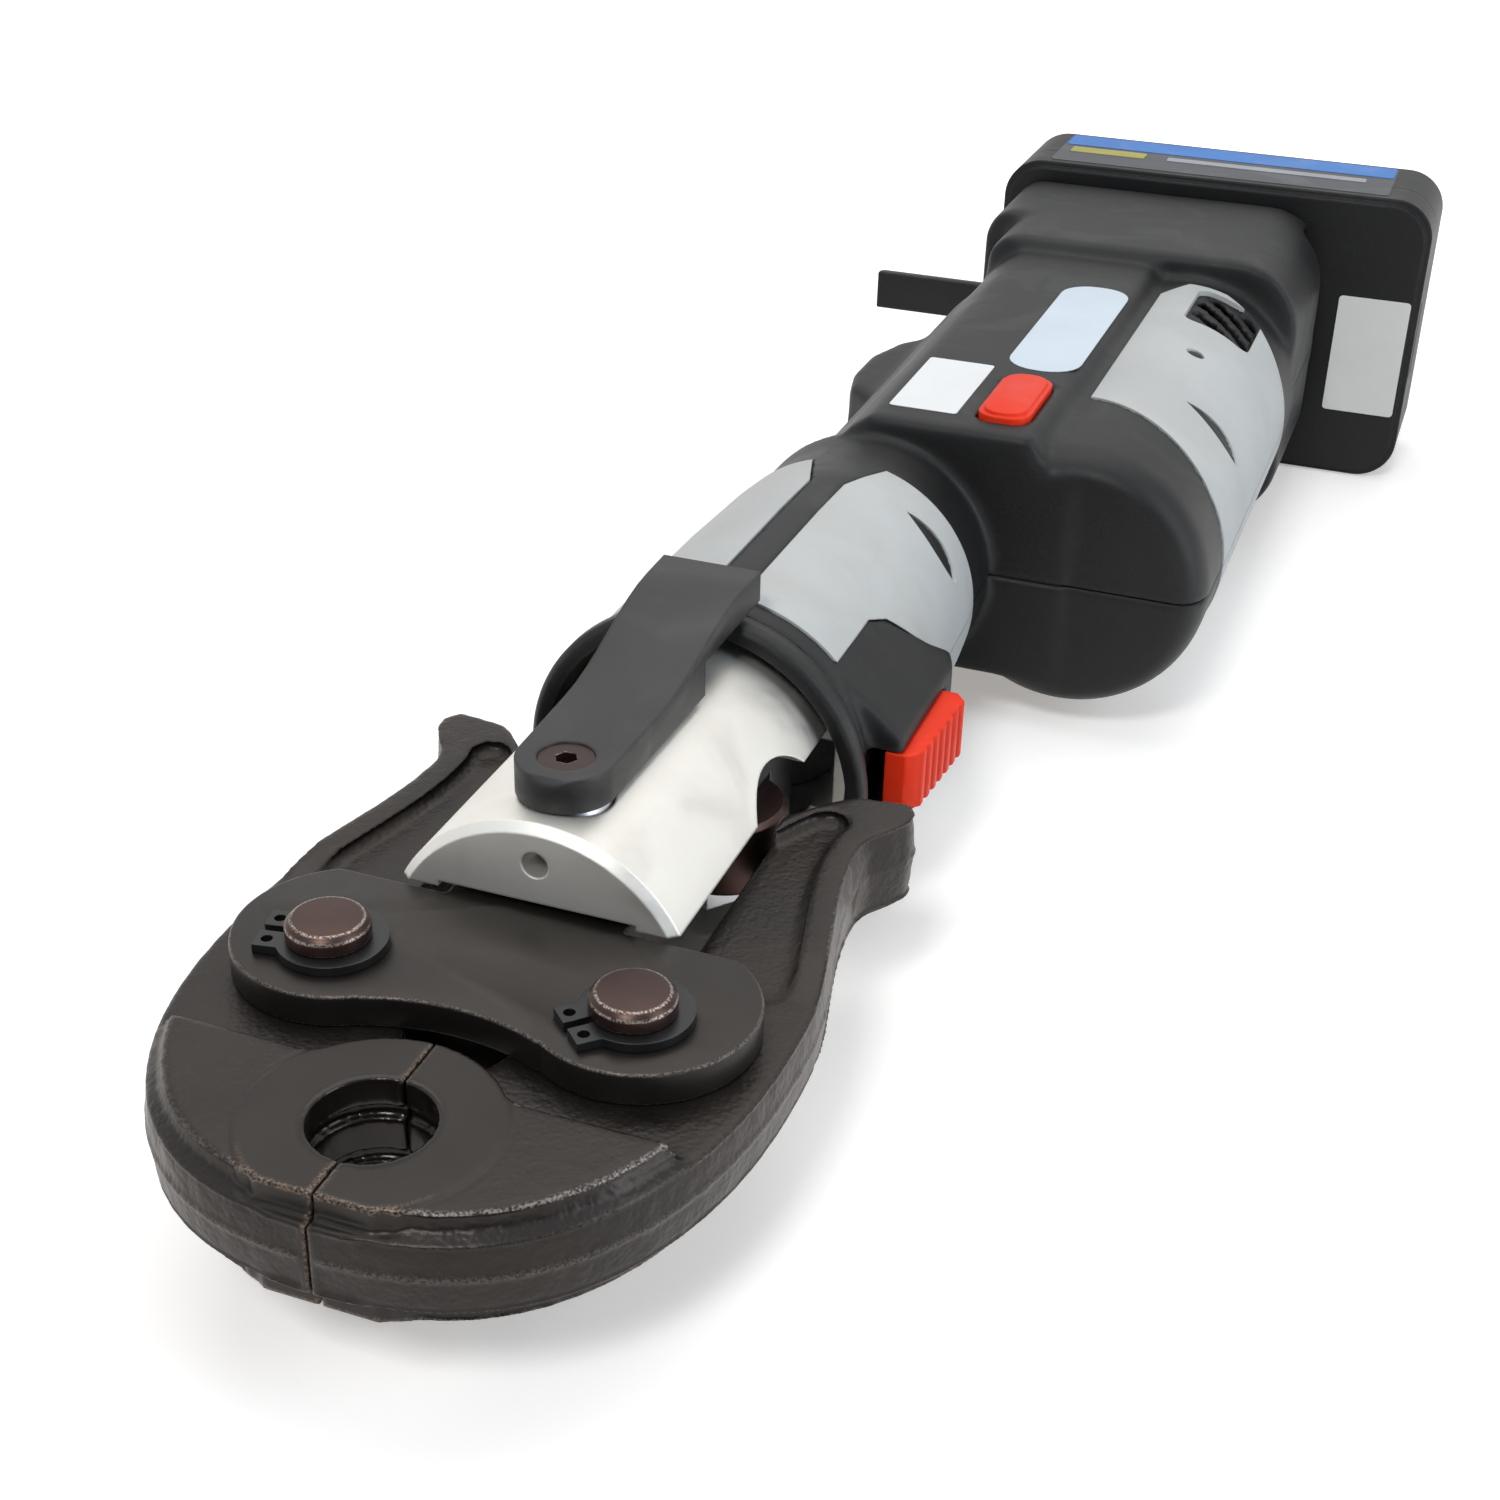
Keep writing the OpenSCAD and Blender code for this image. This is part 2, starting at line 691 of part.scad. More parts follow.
module return_spring() {
  color([0.6, 0.6, 0.62]) translate([0, cyl_in + 0.05, 0]) rotate([-90, 0, 0])
    coil((rod_r + piston_r) / 2, 1.1, spring_room - 0.1, 4.25);
}

module swivel_bush() {
  color([0.72, 0.52, 0.26]) ring_y_body(bush_front, ring_y - 0.1, fork_r + run_fit, bush_r);
}

module cylinder_body() {
  difference() {
    turned([[rod_r + run_fit, cyl_front], [neck_bore - seat_fit, cyl_front],
      [neck_bore - seat_fit, cyl_front + cyl_flange], [cyl_r - seat_fit, cyl_front + cyl_flange],
      [cyl_r - seat_fit, cyl_rear], [piston_r, cyl_rear], [piston_r, cyl_in], [rod_r + run_fit, cyl_in]]);
    ring_y_body(cyl_front + 2, cyl_front + 5, rod_r - 1, rod_r + 3);
  }
}

module cylinder_node() {
  color([0.62, 0.63, 0.65]) cylinder_body();
}

module rod_seal() {
  color([0.1, 0.1, 0.1])
    ring_y_body(cyl_front + 2.05, cyl_front + 4.95, rod_r + run_fit * 0.6, rod_r + 2.95);
}

// Housing

module nose_ring() {
  color([0.08, 0.08, 0.09]) turned([
    [fork_r + 2.6, nose_front], [nose_r - 0.8, nose_front], [nose_r, nose_front + 0.8],
    [nose_r, nose_front + 3], [neck_r, neck_front], [neck_bore - seat_fit, neck_front],
    [neck_bore - seat_fit, bush_front], [fork_r + 0.6, bush_front], [fork_r + 0.6, nose_front + 6]
  ]);
}

// Neck outline as points of radius and Y, drawn in or out by a step
function neck_points(step) = [
  [0, neck_front - (step > 0 ? 5 : 0)],
  [neck_r + step, neck_front - (step > 0 ? 5 : 0)],
  [neck_r + step, neck_front + neck_len * 0.2],
  [neck_r - 0.3 + step, neck_front + neck_len * 0.5],
  [neck_r - 1.2 + step, neck_front + neck_len * 0.74],
  [neck_rear_r + step, neck_front + neck_len * 0.92],
  [neck_rear_r + step, body_front + 3],
  [0, body_front + 3]
];

// Side view of the trigger hump in Y and Z
function hump_points(grow) = [
  [trigger_front - 0.5 - grow, -hump_half - grow], [trigger_rear - 7, -hump_half - grow],
  [trigger_rear - 2 + grow, -hump_half + 2 - grow], [trigger_rear + 5 + grow, -hump_half + 8 - grow],
  [hump_rear + grow, -1], [hump_rear + grow, 1], [trigger_rear + 5 + grow, hump_half - 8 + grow],
  [trigger_rear - 2 + grow, hump_half - 2 + grow], [trigger_rear - 7, hump_half + grow],
  [trigger_front - 0.5 - grow, hump_half + grow]
];

module trigger_hump() {
  intersection() {
    along_y(trigger_front - 0.5, hump_rear) polygon([[5, -hump_half], [neck_r - 7.5, -hump_half],
      [hump_out, -8], [hump_out, 8], [neck_r - 7.5, hump_half], [5, hump_half]]);
    along_x(0, 60) polygon(hump_points(0));
    along_z(-30, 30) polygon([[0, trigger_front - 5], [hump_out, trigger_front - 5],
      [hump_out, trigger_rear + 5], [neck_r - 1.5, hump_rear + 2], [0, hump_rear + 2]]);
  }
}

// Section between the tool's axis and the motor, flat on top, with a slope to the left
module flat_section(inset) {
  top = flat_top - inset;
  edge = inset * 0.5;
  low = barrel_r - 5 - inset;
  polygon([[-1 + edge, top], [31.2 - edge, top], [36 - edge, 22.5 - inset * 0.4], [motor_x, 22 - inset],
    [motor_x, -low], [0, -low], [0, 0], [edge * 1.4 - main_r * 0.62, main_r * 0.78 - edge * 1.4],
    [-5.5 + edge, top - 3.4]]);
}

module barrel_turned(step, front, rear) {
  r = barrel_r - step;
  nose = [for (i = [0 : 5]) let (a = 18 * i)
    [r - 5 + 5 * sin(a), front + 8 * (1 - cos(a))]];
  turned(concat([[0, front]], nose, [[r, rear], [0, rear]]), motor_x);
}

module side_bump(inset) {
  y = body_front + 64;
  along_z(-10 + inset, 10 - inset) polygon([[-8, y + inset], [-21.5 + inset, y + inset],
    [-26.5 + inset, y + 5], [-28.5 + inset, y + 14], [-28.5 + inset, y + 28], [-25 + inset, y + 40],
    [-19 + inset, y + 47 - inset], [-8, y + 47 - inset]]);
}

// Section of the foot, with larger corners beside the motor
module foot_section(inset, narrow = 0) {
  union() {
    rounded(foot_x0 + narrow + inset, foot_x1 - 20, -foot_z + inset, foot_z - inset, 8);
    rounded(foot_x1 - 50, foot_x1 - inset, -foot_z + inset, foot_z - inset, 17 - inset);
  }
}

module housing_outer() {
  union() {
    turned(neck_points(0));
    trigger_hump();
    along_y(body_front, body_rear) union() {
      circle(main_r);
      flat_section(0);
    }
    barrel_turned(0, body_front + 0.5, body_rear);
    side_bump(0);
    along_y(body_rear - 1, body_rear + 22) foot_section(0, 6);
    along_y(body_rear + 21, foot_rear) foot_section(0);
  }
}

module main_cavity() {
  union() {
    circle(main_in);
    flat_section(wall);
  }
}

module housing_inner() {
  union() {
    rod_y(neck_front - 5, cyl_front + cyl_flange + 0.1, neck_bore);
    rod_y(neck_front, body_front + wall + 0.5, cyl_r);
    along_y(body_front + wall, body_rear - wall) main_cavity();
    // Way from the body into the foot, inside the walls of both
    along_y(body_rear - wall - eps, body_rear + 6) intersection() {
      main_cavity();
      foot_section(wall + 0.2, 6);
    }
    rod_y(body_front + wall + 0.5, body_rear + 6, barrel_in, motor_x);
    side_bump(wall);
    along_y(body_rear + 2, body_rear + 25) foot_section(wall, 6);
    along_y(body_rear + 24, rail_y - 6 + seat_fit / 2) foot_section(wall);
    // Track for the battery's rails, open to the side the battery leaves by
    box(shoe_x0 - clear - 0.5, foot_x1 + 10, rail_y - 0.3, foot_rear + 5, -28.4, 28.4);
    along_y(rail_y - 10, rail_y) rounded(shoe_x0 - seat_fit, shoe_x1 + seat_fit, -shoe_neck - seat_fit,
      shoe_neck + seat_fit, 2);
  }
}

// Places of the case screws in X and Y
screw_places = [
  [neck_bore + 1.6, trigger_rear + 13.5],
  [-23.6, body_front + 88],
  [foot_x0 + 5.8, body_rear + 31],
  [foot_x1 - 7, body_rear + 31]
];
// Depth of the screw heads below the axis plane
screw_low = [5, 7, 24, 22];

module bosses() {
  for (i = [0 : 3]) let (p = screw_places[i])
    rod_z(-screw_low[i] - 2, screw_low[i] + 2, 3.1, p[0], p[1]);
  // Seats of the motor and the front bearing of its shaft
  for (y = [box_rear + 6, motor_rear - 10]) ring_y_body(y, y + 3, motor_r + 0.05, barrel_in + 1, motor_x);
  ring_y_body(body_front + 2, body_front + 8, 5 + run_fit, 9, motor_x);
}

module screw_bores() {
  for (i = [0 : 3]) let (p = screw_places[i]) {
    rod_z(-screw_low[i] - 1, screw_low[i] - 1, 1.55, p[0], p[1]);
    rod_z(-60, -screw_low[i], 2.9, p[0], p[1]);
  }
}

module case_screws() {
  color([0.2, 0.2, 0.21]) for (i = [0 : 3]) let (p = screw_places[i])
    translate([p[0], p[1], -screw_low[i]]) difference() {
      rotate_extrude() polygon([[0, -2], [2.7, -2], [2.7, 0], [1.5, 0], [1.5, 2 * screw_low[i] - 1.5],
        [0, 2 * screw_low[i] - 1.5]]);
      translate([0, 0, -2.5]) cylinder(h = 1.8, r = 1.3, $fn = 6);
    }
}

// Regions of the light panels, seen from above and from the side

module neck_region(gap) {
  intersection() {
    along_z(0.15 - gap, 60) union() {
      polygon([[3.4 - gap, neck_front + 5 - gap], [60, neck_front + 5 - gap], [60, body_front - 16 + gap],
        [7.5 - gap, body_front - 16 + gap], [3.4 - gap, body_front - 30 + gap]]);
      polygon([[-3.4 + gap, neck_front + 5 - gap], [-3.4 + gap, body_front - 30 + gap],
        [-7.5 + gap, body_front - 16 + gap], [-60, body_front - 16 + gap], [-60, neck_front + 5 - gap]]);
    }
    difference() {
      box(-60, 60, neck_front, body_front, -60, 60);
      along_x(0, 60) polygon(hump_points(0.6 - gap));
      // Long hollow on the right side near the body
      translate([0, body_front - 27.5, neck_r * 0.58]) along_x(5, 60) lens(gap);
    }
  }
}

// Pointed oval standing in Z, in Y and Z
module lens(gap) {
  intersection() {
    translate([-6.8, 0]) circle(9.4 - gap);
    translate([6.8, 0]) circle(9.4 - gap);
  }
}

module neck_skin(low, high) {
  difference() {
    turned(neck_points(high));
    turned(neck_points(low));
  }
}

module neck_panels() {
  intersection() {
    neck_skin(-panel_seat, 0.25);
    neck_region(0);
  }
}

module body_region(gap) {
  y = body_front;
  rear = body_rear;
  intersection() {
    along_z(0.15 - gap, 60) polygon([[35.8 - gap, y + 36 - gap], [54, y + 28 - gap], [64, y + 23.5 - gap],
      [80, y + 23 - gap], [80, rear - 26 + gap], [66, rear - 16 + gap], [58, rear - 9 + gap],
      [50, rear - 5 + gap], [41 - gap, rear - 5 + gap], [35.8 - gap, rear - 14 + gap]]);
    difference() {
      box(-60, 90, body_front, body_rear, -60, 60);
      // Round seat of a screw and a long hollow
      rod_z(0, 60, 2 - gap, motor_x + 9.5, y + 76);
      translate([0, y + 48.5, barrel_r * 0.66]) along_x(motor_x, 90) lens(gap);
    }
  }
}

// Window of the vent in the light panel, and the slanted slots behind it
module vent_window(inset) {
  y = body_rear - 31;
  along_z(5, 60) rounded(motor_x + 3 + inset, motor_x + 18.4 - inset, y + inset, y + 23.6 - inset, 3);
}

module vent_slots() {
  intersection() {
    vent_window(0.8);
    for (i = [-2 : 2]) translate([motor_x + 10.7, body_rear - 19.2 + 7 * i, 0]) rotate([0, 0, -40])
      box(-20, 20, -1.4, 1.4, 5, 60);
  }
}

module body_panels() {
  difference() {
    intersection() {
      difference() {
        barrel_turned(-0.25, body_front + 0.5, body_rear + 5);
        barrel_turned(panel_seat, body_front + 0.5, body_rear + 6);
      }
      body_region(0);
    }
    vent_window(0);
  }
}

module panel_seats() {
  intersection() {
    difference() {
      turned(neck_points(6));
      turned(neck_points(-panel_seat - 0.05));
    }
    neck_region(0.1);
  }
  intersection() {
    difference() {
      barrel_turned(-3, body_front + 0.5, body_rear + 5);
      barrel_turned(panel_seat + 0.05, body_front + 0.5, body_rear + 6);
    }
    body_region(0.1);
  }
}

module trigger_pocket() {
  half = trigger_h / 2 + clear;
  box(pocket_in, 60, trigger_front - 5, trigger_rear + clear, -half, half);
  box(pocket_in, skirt_out + clear, trigger_front + 4, trigger_rear + 3, -half - 1.6, half + 1.6);
  box(pocket_in, pocket_in + 4.2, trigger_rear + 1, trigger_rear + 9.6, -4.1, 4.1);
}

module button_hole() {
  along_z(flat_top - wall - 5, flat_top + 5) button_outline(clear);
}

module housing_half() {
  difference() {
    union() {
      difference() {
        housing_outer();
        housing_inner();
      }
      intersection() {
        bosses();
        housing_outer();
      }
    }
    screw_bores();
    trigger_pocket();
    panel_seats();
    mirror([0, 0, 1]) panel_seats();
    vent_slots();
    mirror([0, 0, 1]) vent_slots();
    children();
  }
}

module housing_upper() {
  color([0.08, 0.08, 0.09]) housing_half() {
    box(-200, 200, -100, 600, -200, 0);
    button_hole();
  }
}

module housing_lower() {
  color([0.08, 0.08, 0.09]) housing_half() {
    box(-200, 200, -100, 600, 0, 200);
  }
}

module neck_panel_upper() {
  color([0.72, 0.73, 0.74]) neck_panels();
}

module neck_panel_lower() {
  color([0.72, 0.73, 0.74]) difference() {
    mirror([0, 0, 1]) neck_panels();
    screw_bores();
  }
}

module body_panel_upper() {
  color([0.72, 0.73, 0.74]) body_panels();
}

module body_panel_lower() {
  color([0.72, 0.73, 0.74]) mirror([0, 0, 1]) body_panels();
}

// Trigger and release button

module trigger() {
  half = trigger_h / 2;
  rib = (trigger_len - 4) / 7;
  color([0.75, 0.1, 0.08]) difference() {
    union() {
      along_z(-half, half) polygon(concat([[skirt_in, trigger_front], [trigger_out - 3, trigger_front],
        [trigger_out - 1.5, trigger_front + 1.5]],
        [for (i = [0 : 6]) each [[trigger_out - 1.4 + 0.25 * i, trigger_front + 2 + rib * i],
          [trigger_out - 0.6 + 0.25 * i, trigger_front + 2 + rib * (i + 0.3)],
          [trigger_out - 0.6 + 0.25 * i, trigger_front + 2 + rib * (i + 0.7)]]],
        [[trigger_out - 1, trigger_rear - 0.5], [skirt_in, trigger_rear - 0.5]]));
      box(skirt_in, skirt_out, trigger_front + 5, trigger_rear + 2, -half - 1.2, half + 1.2);
    }
    rod_x(skirt_in - 1, skirt_in + 4, 3, trigger_front + 16);
  }
}

module trigger_spring() {
  color([0.6, 0.6, 0.62]) translate([pocket_in + 0.05, trigger_front + 16, 0]) rotate([0, 90, 0])
    coil(2.2, 0.45, skirt_in + 4 - pocket_in - 0.1, 4);
}

module trigger_switch() {
  color([0.15, 0.15, 0.17])
    box(pocket_in + 0.1, pocket_in + 4, trigger_rear + 2.6, trigger_rear + 9.5, -4, 4);
}

module button_outline(grow) {
  rounded(button_x - button_w / 2 - grow, button_x + button_w / 2 + grow, button_y - button_len / 2 - grow,
    button_y + button_len / 2 + grow, 4);
}

module release_button() {
  under = flat_top - wall - 0.2;
  color([0.75, 0.1, 0.08]) union() {
    along_z(under - 1.3, under) button_outline(1.1);
    along_z(under - eps, button_top - 0.7) button_outline(0);
    along_z(button_top - 0.71, button_top) button_outline(-0.8);
    rod_z(under - 2.2, under - 1.2, 1.9, button_x, ecc_y);
  }
}

boss_r = 9;

module release_valve() {
  under = flat_top - wall - 0.2;
  color([0.6, 0.6, 0.62]) rod_z(4, under - 2.2 - button_travel - 0.1, 1.8, button_x, ecc_y);
}

module button_spring() {
  under = flat_top - wall - 0.2;
  color([0.6, 0.6, 0.62]) translate([button_x, ecc_y, boss_r + 0.05])
    coil(3.2, 0.5, under - 1.3 - boss_r - 0.1, 7);
}

// Pump and motor

plunger_tip = motor_x - ecc_r - ecc_e - 0.15;

module pump_block() {
  color([0.55, 0.56, 0.58]) difference() {
    union() {
      turned([[0, cyl_rear], [cyl_r - seat_fit, cyl_rear], [cyl_r - seat_fit, body_front + wall + 0.1],
        [main_in - seat_fit, body_front + wall + 0.1], [main_in - seat_fit, block_rear], [0, block_rear]]);
      rod_x(15, plunger_tip - 2.5, boss_r, ecc_y);
      // Flat seat of the button spring
      box(button_x - 5, button_x + 5, ecc_y - 5, ecc_y + 5, 0, boss_r);
    }
    rod_x(8, 60, 4.5 + run_fit, ecc_y);
    rod_z(3.8, 40, 1.8 + run_fit, button_x, ecc_y);
    // Room for the gearbox beside the block
    rod_y(box_front - 0.4, block_rear + 1, barrel_in + 0.3, motor_x);
    rod_y(body_front - 1, box_front + 1, ecc_r + ecc_e + 0.5, motor_x);
  }
}

module pump_plunger() {
  color([0.7, 0.7, 0.72]) difference() {
    rod_x(8.3, plunger_tip, 4.5, ecc_y);
    rod_z(3.2, 40, 2.6, button_x, ecc_y);
  }
}

module oil_bladder() {
  long = body_rear - 8;
  color([0.13, 0.13, 0.14]) translate([-4.5, 0, 0]) turned([[0, block_rear], [9, block_rear],
    [9, block_rear + 4], [13, block_rear + 8], [13, long - 6], [11, long - 1.5], [7, long], [0, long]]);
}

module gearbox_case() {
  color([0.35, 0.35, 0.37]) difference() {
    ring_y_body(box_front, box_rear, 5 + run_fit, barrel_in - seat_fit, motor_x);
    rod_y(box_front + 2.4, box_rear + 1, ring_out_r + 0.05, motor_x);
  }
}

module ring_gear() {
  color([0.45, 0.45, 0.47]) difference() {
    rod_y(gear_y, gear_y + gear_w, ring_out_r, motor_x);
    translate([motor_x, gear_y - 1, 0]) rotate([-90, 0, 0]) linear_extrude(gear_w + 2)
      rotate(180 / ring_teeth) polygon(gear_points(ring_teeth, 1.1 * gear_module, 0.75 * gear_module, -0.12));
  }
}

module sun_gear() {
  color([0.6, 0.6, 0.62]) difference() {
    translate([motor_x, gear_y, 0]) rotate([-90, 0, 0]) linear_extrude(gear_w)
      polygon(gear_points(sun_teeth, 0.75 * gear_module, 1.1 * gear_module, 0.12));
    rod_y(gear_y - 1, gear_y + gear_w + 1, shaft_r, motor_x);
  }
}

module planet_gear(turn) {
  translate([motor_x, 0, 0]) rotate([0, turn, 0]) translate([planet_orbit, 0, 0]) difference() {
    translate([0, gear_y, 0]) rotate([-90, 0, 0]) linear_extrude(gear_w)
      rotate(180 / planet_teeth)
        polygon(gear_points(planet_teeth, 0.75 * gear_module, 1.1 * gear_module, 0.12));
    rod_y(gear_y - 1, gear_y + gear_w + 1, 2.5 + run_fit);
  }
}

module planet_gear_a() {
  color([0.6, 0.6, 0.62]) planet_gear(0);
}

module planet_gear_b() {
  color([0.6, 0.6, 0.62]) planet_gear(120);
}

module planet_gear_c() {
  color([0.6, 0.6, 0.62]) planet_gear(240);
}

module planet_carrier() {
  color([0.5, 0.5, 0.52]) union() {
    rod_y(body_front + 3.4, box_front + 4, 5, motor_x);
    rod_y(ecc_y - 4.5, ecc_y + 4.5, ecc_r, motor_x - ecc_e);
    rod_y(box_front + 2.7, gear_y - 0.3, planet_orbit + 4.5, motor_x);
    for (i = [0 : 2]) translate([motor_x, 0, 0]) rotate([0, 120 * i, 0]) translate([planet_orbit, 0, 0])
      rod_y(gear_y - 0.5, gear_y + gear_w + 0.5, 2.5);
  }
}

module motor_can() {
  color([0.3, 0.3, 0.32]) difference() {
    rod_y(box_rear, motor_rear, motor_r, motor_x);
    rod_y(box_rear + 2.5, motor_rear - 2.5, motor_r - 1.6, motor_x);
    rod_y(box_rear - 1, motor_rear + 1, shaft_r + run_fit, motor_x);
  }
}

module motor_rotor() {
  color([0.55, 0.45, 0.35]) union() {
    rod_y(gear_y + 0.2, fan_y + 8, shaft_r, motor_x);
    rod_y(box_rear + 8, motor_rear - 10, 12.5, motor_x);
  }
}

module cooling_fan() {
  color([0.15, 0.15, 0.16]) difference() {
    union() {
      rod_y(fan_y, fan_y + 7, 5.5, motor_x);
      rod_y(fan_y, fan_y + 1.2, fan_r, motor_x);
      for (i = [0 : 8]) translate([motor_x, 0, 0]) rotate([0, 40 * i, 0])
        box(4.5, fan_r - 0.5, fan_y + 1, fan_y + 6.5, -0.6, 0.6);
    }
    rod_y(fan_y - 1, fan_y + 9, shaft_r + 0.01, motor_x);
  }
}

module circuit_board() {
  y = body_rear + 9;
  color([0.1, 0.35, 0.2]) along_y(y, y + 1.6)
    rounded(foot_x0 + 6.3 + wall, foot_x1 - wall - 0.3, -14, 14, 1);
}

// Battery and its shoe

module battery_shoe() {
  color([0.1, 0.1, 0.11]) difference() {
    union() {
      along_y(rail_y - 6, shoe_y) rounded(shoe_x0, shoe_x1, -shoe_neck, shoe_neck, 2);
      along_y(shoe_y - eps, foot_rear + 0.8) rounded(shoe_x0, shoe_x1, -shoe_half, shoe_half, 2);
      along_y(rail_y - 8, rail_y - 6 + eps)
        rounded(shoe_x0 + 3, shoe_x1 - 3, -shoe_neck - 3, shoe_neck + 3, 2);
    }
    for (z = [-12, 0, 12]) box(10, 26, rail_y - 9, foot_rear + 2, z - 0.45, z + 0.45);
    box(shoe_x0 + 6, shoe_x1 - 6, rail_y - 9, rail_y - 2, -shoe_neck + 4, shoe_neck - 4);
  }
}

module shoe_blades() {
  color([0.75, 0.6, 0.3]) for (z = [-12, 0, 12])
    box(10.05, 25.95, rail_y - 6, battery_y + 5, z - 0.4, z + 0.4);
}

module battery_section(inset) {
  rounded(battery_x0 + inset, battery_x1 - inset, -battery_half + inset, battery_half - inset,
    battery_corner - inset * 0.5);
}

module battery_case_front() {
  color([0.1, 0.1, 0.11]) difference() {
    union() {
      along_y(battery_y + 1.5, battery_mid) battery_section(0);
      along_y(battery_y, battery_y + 1.6) battery_section(1.4);
      // Rails that hook behind the shoe
      for (s = [0, 1]) mirror([0, 0, s]) {
        box(shoe_x0, shoe_x1, rail_y, battery_y + 2, shoe_half + clear, shoe_half + clear + 3);
        box(shoe_x0, shoe_x1, rail_y, shoe_y - clear, shoe_neck + clear, shoe_half + clear + 0.1);
      }
    }
    along_y(battery_y + 8.2, battery_mid + 1) battery_section(2.6);
    for (z = [-12, 0, 12]) box(battery_x0 - 1, 27, battery_y - 1, battery_y + 9, z - 1.2, z + 1.2);
    // Window of the latch
    box(battery_x1 - 3, battery_x1 + 1, battery_y + 1.8, battery_mid - 2.6, -9.3, 9.3);
    box(battery_x1 - 8, battery_x1 - 2.6, battery_y + 1.8, battery_mid - 1.4, -11, 11);
  }
}

module battery_case_rear() {
  color([0.1, 0.1, 0.11]) difference() {
    union() {
      along_y(battery_mid, battery_rear - 2.5) battery_section(0);
      along_y(battery_rear - 2.6, battery_rear - 1) battery_section(1);
      along_y(battery_rear - 1.1, battery_rear) battery_section(2.6);
    }
    along_y(battery_mid - 1, battery_rear - 2.6) battery_section(2.6);
  }
}

module battery_cells() {
  color([0.2, 0.35, 0.55]) for (i = [-2 : 2])
    rod_z(-cell_half, cell_half, cell_r, cell_mid + i * (2 * cell_r + 0.3), cell_y);
}

module battery_clips() {
  color([0.75, 0.6, 0.3]) for (z = [-12, 0, 12]) for (s = [-1, 1])
    box(10, 24, battery_y + 2, battery_y + 8, z + s * 0.8 - 0.3, z + s * 0.8 + 0.3);
}

module battery_latch() {
  color([0.14, 0.14, 0.15]) union() {
    box(battery_x1 - 4, battery_x1 - 0.1, battery_y + 2.1, battery_mid - 2.9, -9, 9);
    box(battery_x1 - 5.4, battery_x1 - 3.2, battery_y + 2.1, battery_mid - 1.7, -10.7, 10.7);
  }
}

module hang_tab() {
  y = foot_rear - 8.6;
  color([0.07, 0.07, 0.08]) along_z(-5, 5) polygon([[foot_x0, y - 16], [foot_x0, y + 3],
    [1 - tab_reach, y + 3], [-tab_reach, y + 2], [-tab_reach, y], [foot_x0 - 8, y], [foot_x0 - 3, y - 3],
    [foot_x0 - 3, y - 14], [foot_x0 - 1, y - 16]]);
}

place() {
  jaw_left();
  jaw_right();
  plate_upper();
  plate_lower();
  pivot_pin_left();
  pivot_pin_right();
  pin_circlips();
  jaw_spring();
  fork();
  locking_pin();
  lock_lever();
  lever_screw();
  retaining_ring();
  roller_left();
  roller_right();
  roller_pins();
  ram_head();
  piston_rod();
  piston();
  piston_seal();
  return_spring();
  swivel_bush();
  cylinder_node();  // cylinder
  rod_seal();
  nose_ring();
  housing_upper();
  housing_lower();
  neck_panel_upper();
  neck_panel_lower();
  body_panel_upper();
  body_panel_lower();
  case_screws();
  trigger();
  trigger_spring();
  trigger_switch();
  release_button();
  button_spring();
  release_valve();
  pump_block();
  pump_plunger();
  oil_bladder();
  gearbox_case();
  ring_gear();
  sun_gear();
  planet_gear_a();
  planet_gear_b();
  planet_gear_c();
  planet_carrier();
  motor_can();
  motor_rotor();
  cooling_fan();
  circuit_board();
  battery_shoe();
  shoe_blades();
  hang_tab();
  battery_case_front();
  battery_case_rear();
  battery_cells();
  battery_clips();
  battery_latch();
}
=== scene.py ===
# %% [markdown]
# # A battery press tool
# A plumber's press tool lies on a white table with its jaw towards us. The solids come packed and
# stay fixed; this lesson gives them their finishes, rounds what a drawing leaves sharp, and adds the
# thin things such as labels that no solid carries.

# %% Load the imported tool
import json
import math
import bpy
import bmesh
import numpy as np
from mathutils import Matrix, Vector, noise
from mathutils.bvhtree import BVHTree

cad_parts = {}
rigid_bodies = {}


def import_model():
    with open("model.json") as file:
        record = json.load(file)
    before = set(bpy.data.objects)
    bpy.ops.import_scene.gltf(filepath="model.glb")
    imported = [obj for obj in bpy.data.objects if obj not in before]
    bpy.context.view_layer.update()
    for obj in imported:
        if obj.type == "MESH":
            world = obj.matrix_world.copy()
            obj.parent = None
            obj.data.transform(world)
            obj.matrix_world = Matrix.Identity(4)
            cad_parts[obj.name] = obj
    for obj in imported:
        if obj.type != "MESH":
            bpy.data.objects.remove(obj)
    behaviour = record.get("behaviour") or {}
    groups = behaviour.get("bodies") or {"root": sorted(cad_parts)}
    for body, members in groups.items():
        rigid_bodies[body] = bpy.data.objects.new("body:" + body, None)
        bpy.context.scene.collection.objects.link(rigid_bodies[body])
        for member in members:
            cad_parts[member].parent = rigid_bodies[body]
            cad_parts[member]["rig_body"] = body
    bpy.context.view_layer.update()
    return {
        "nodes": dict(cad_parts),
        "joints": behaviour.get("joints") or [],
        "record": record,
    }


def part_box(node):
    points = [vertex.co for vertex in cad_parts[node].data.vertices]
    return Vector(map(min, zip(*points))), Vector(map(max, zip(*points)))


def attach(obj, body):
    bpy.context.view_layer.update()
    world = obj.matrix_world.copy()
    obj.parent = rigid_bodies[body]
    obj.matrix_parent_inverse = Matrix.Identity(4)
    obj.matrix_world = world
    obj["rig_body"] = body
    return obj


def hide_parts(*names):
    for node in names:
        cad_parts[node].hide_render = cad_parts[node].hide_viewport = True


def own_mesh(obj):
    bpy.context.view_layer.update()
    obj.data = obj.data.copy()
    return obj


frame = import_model()
nodes = frame["nodes"]
MM = 0.001
BORE = Vector(frame["record"]["mounts"][0]["pos_m"])


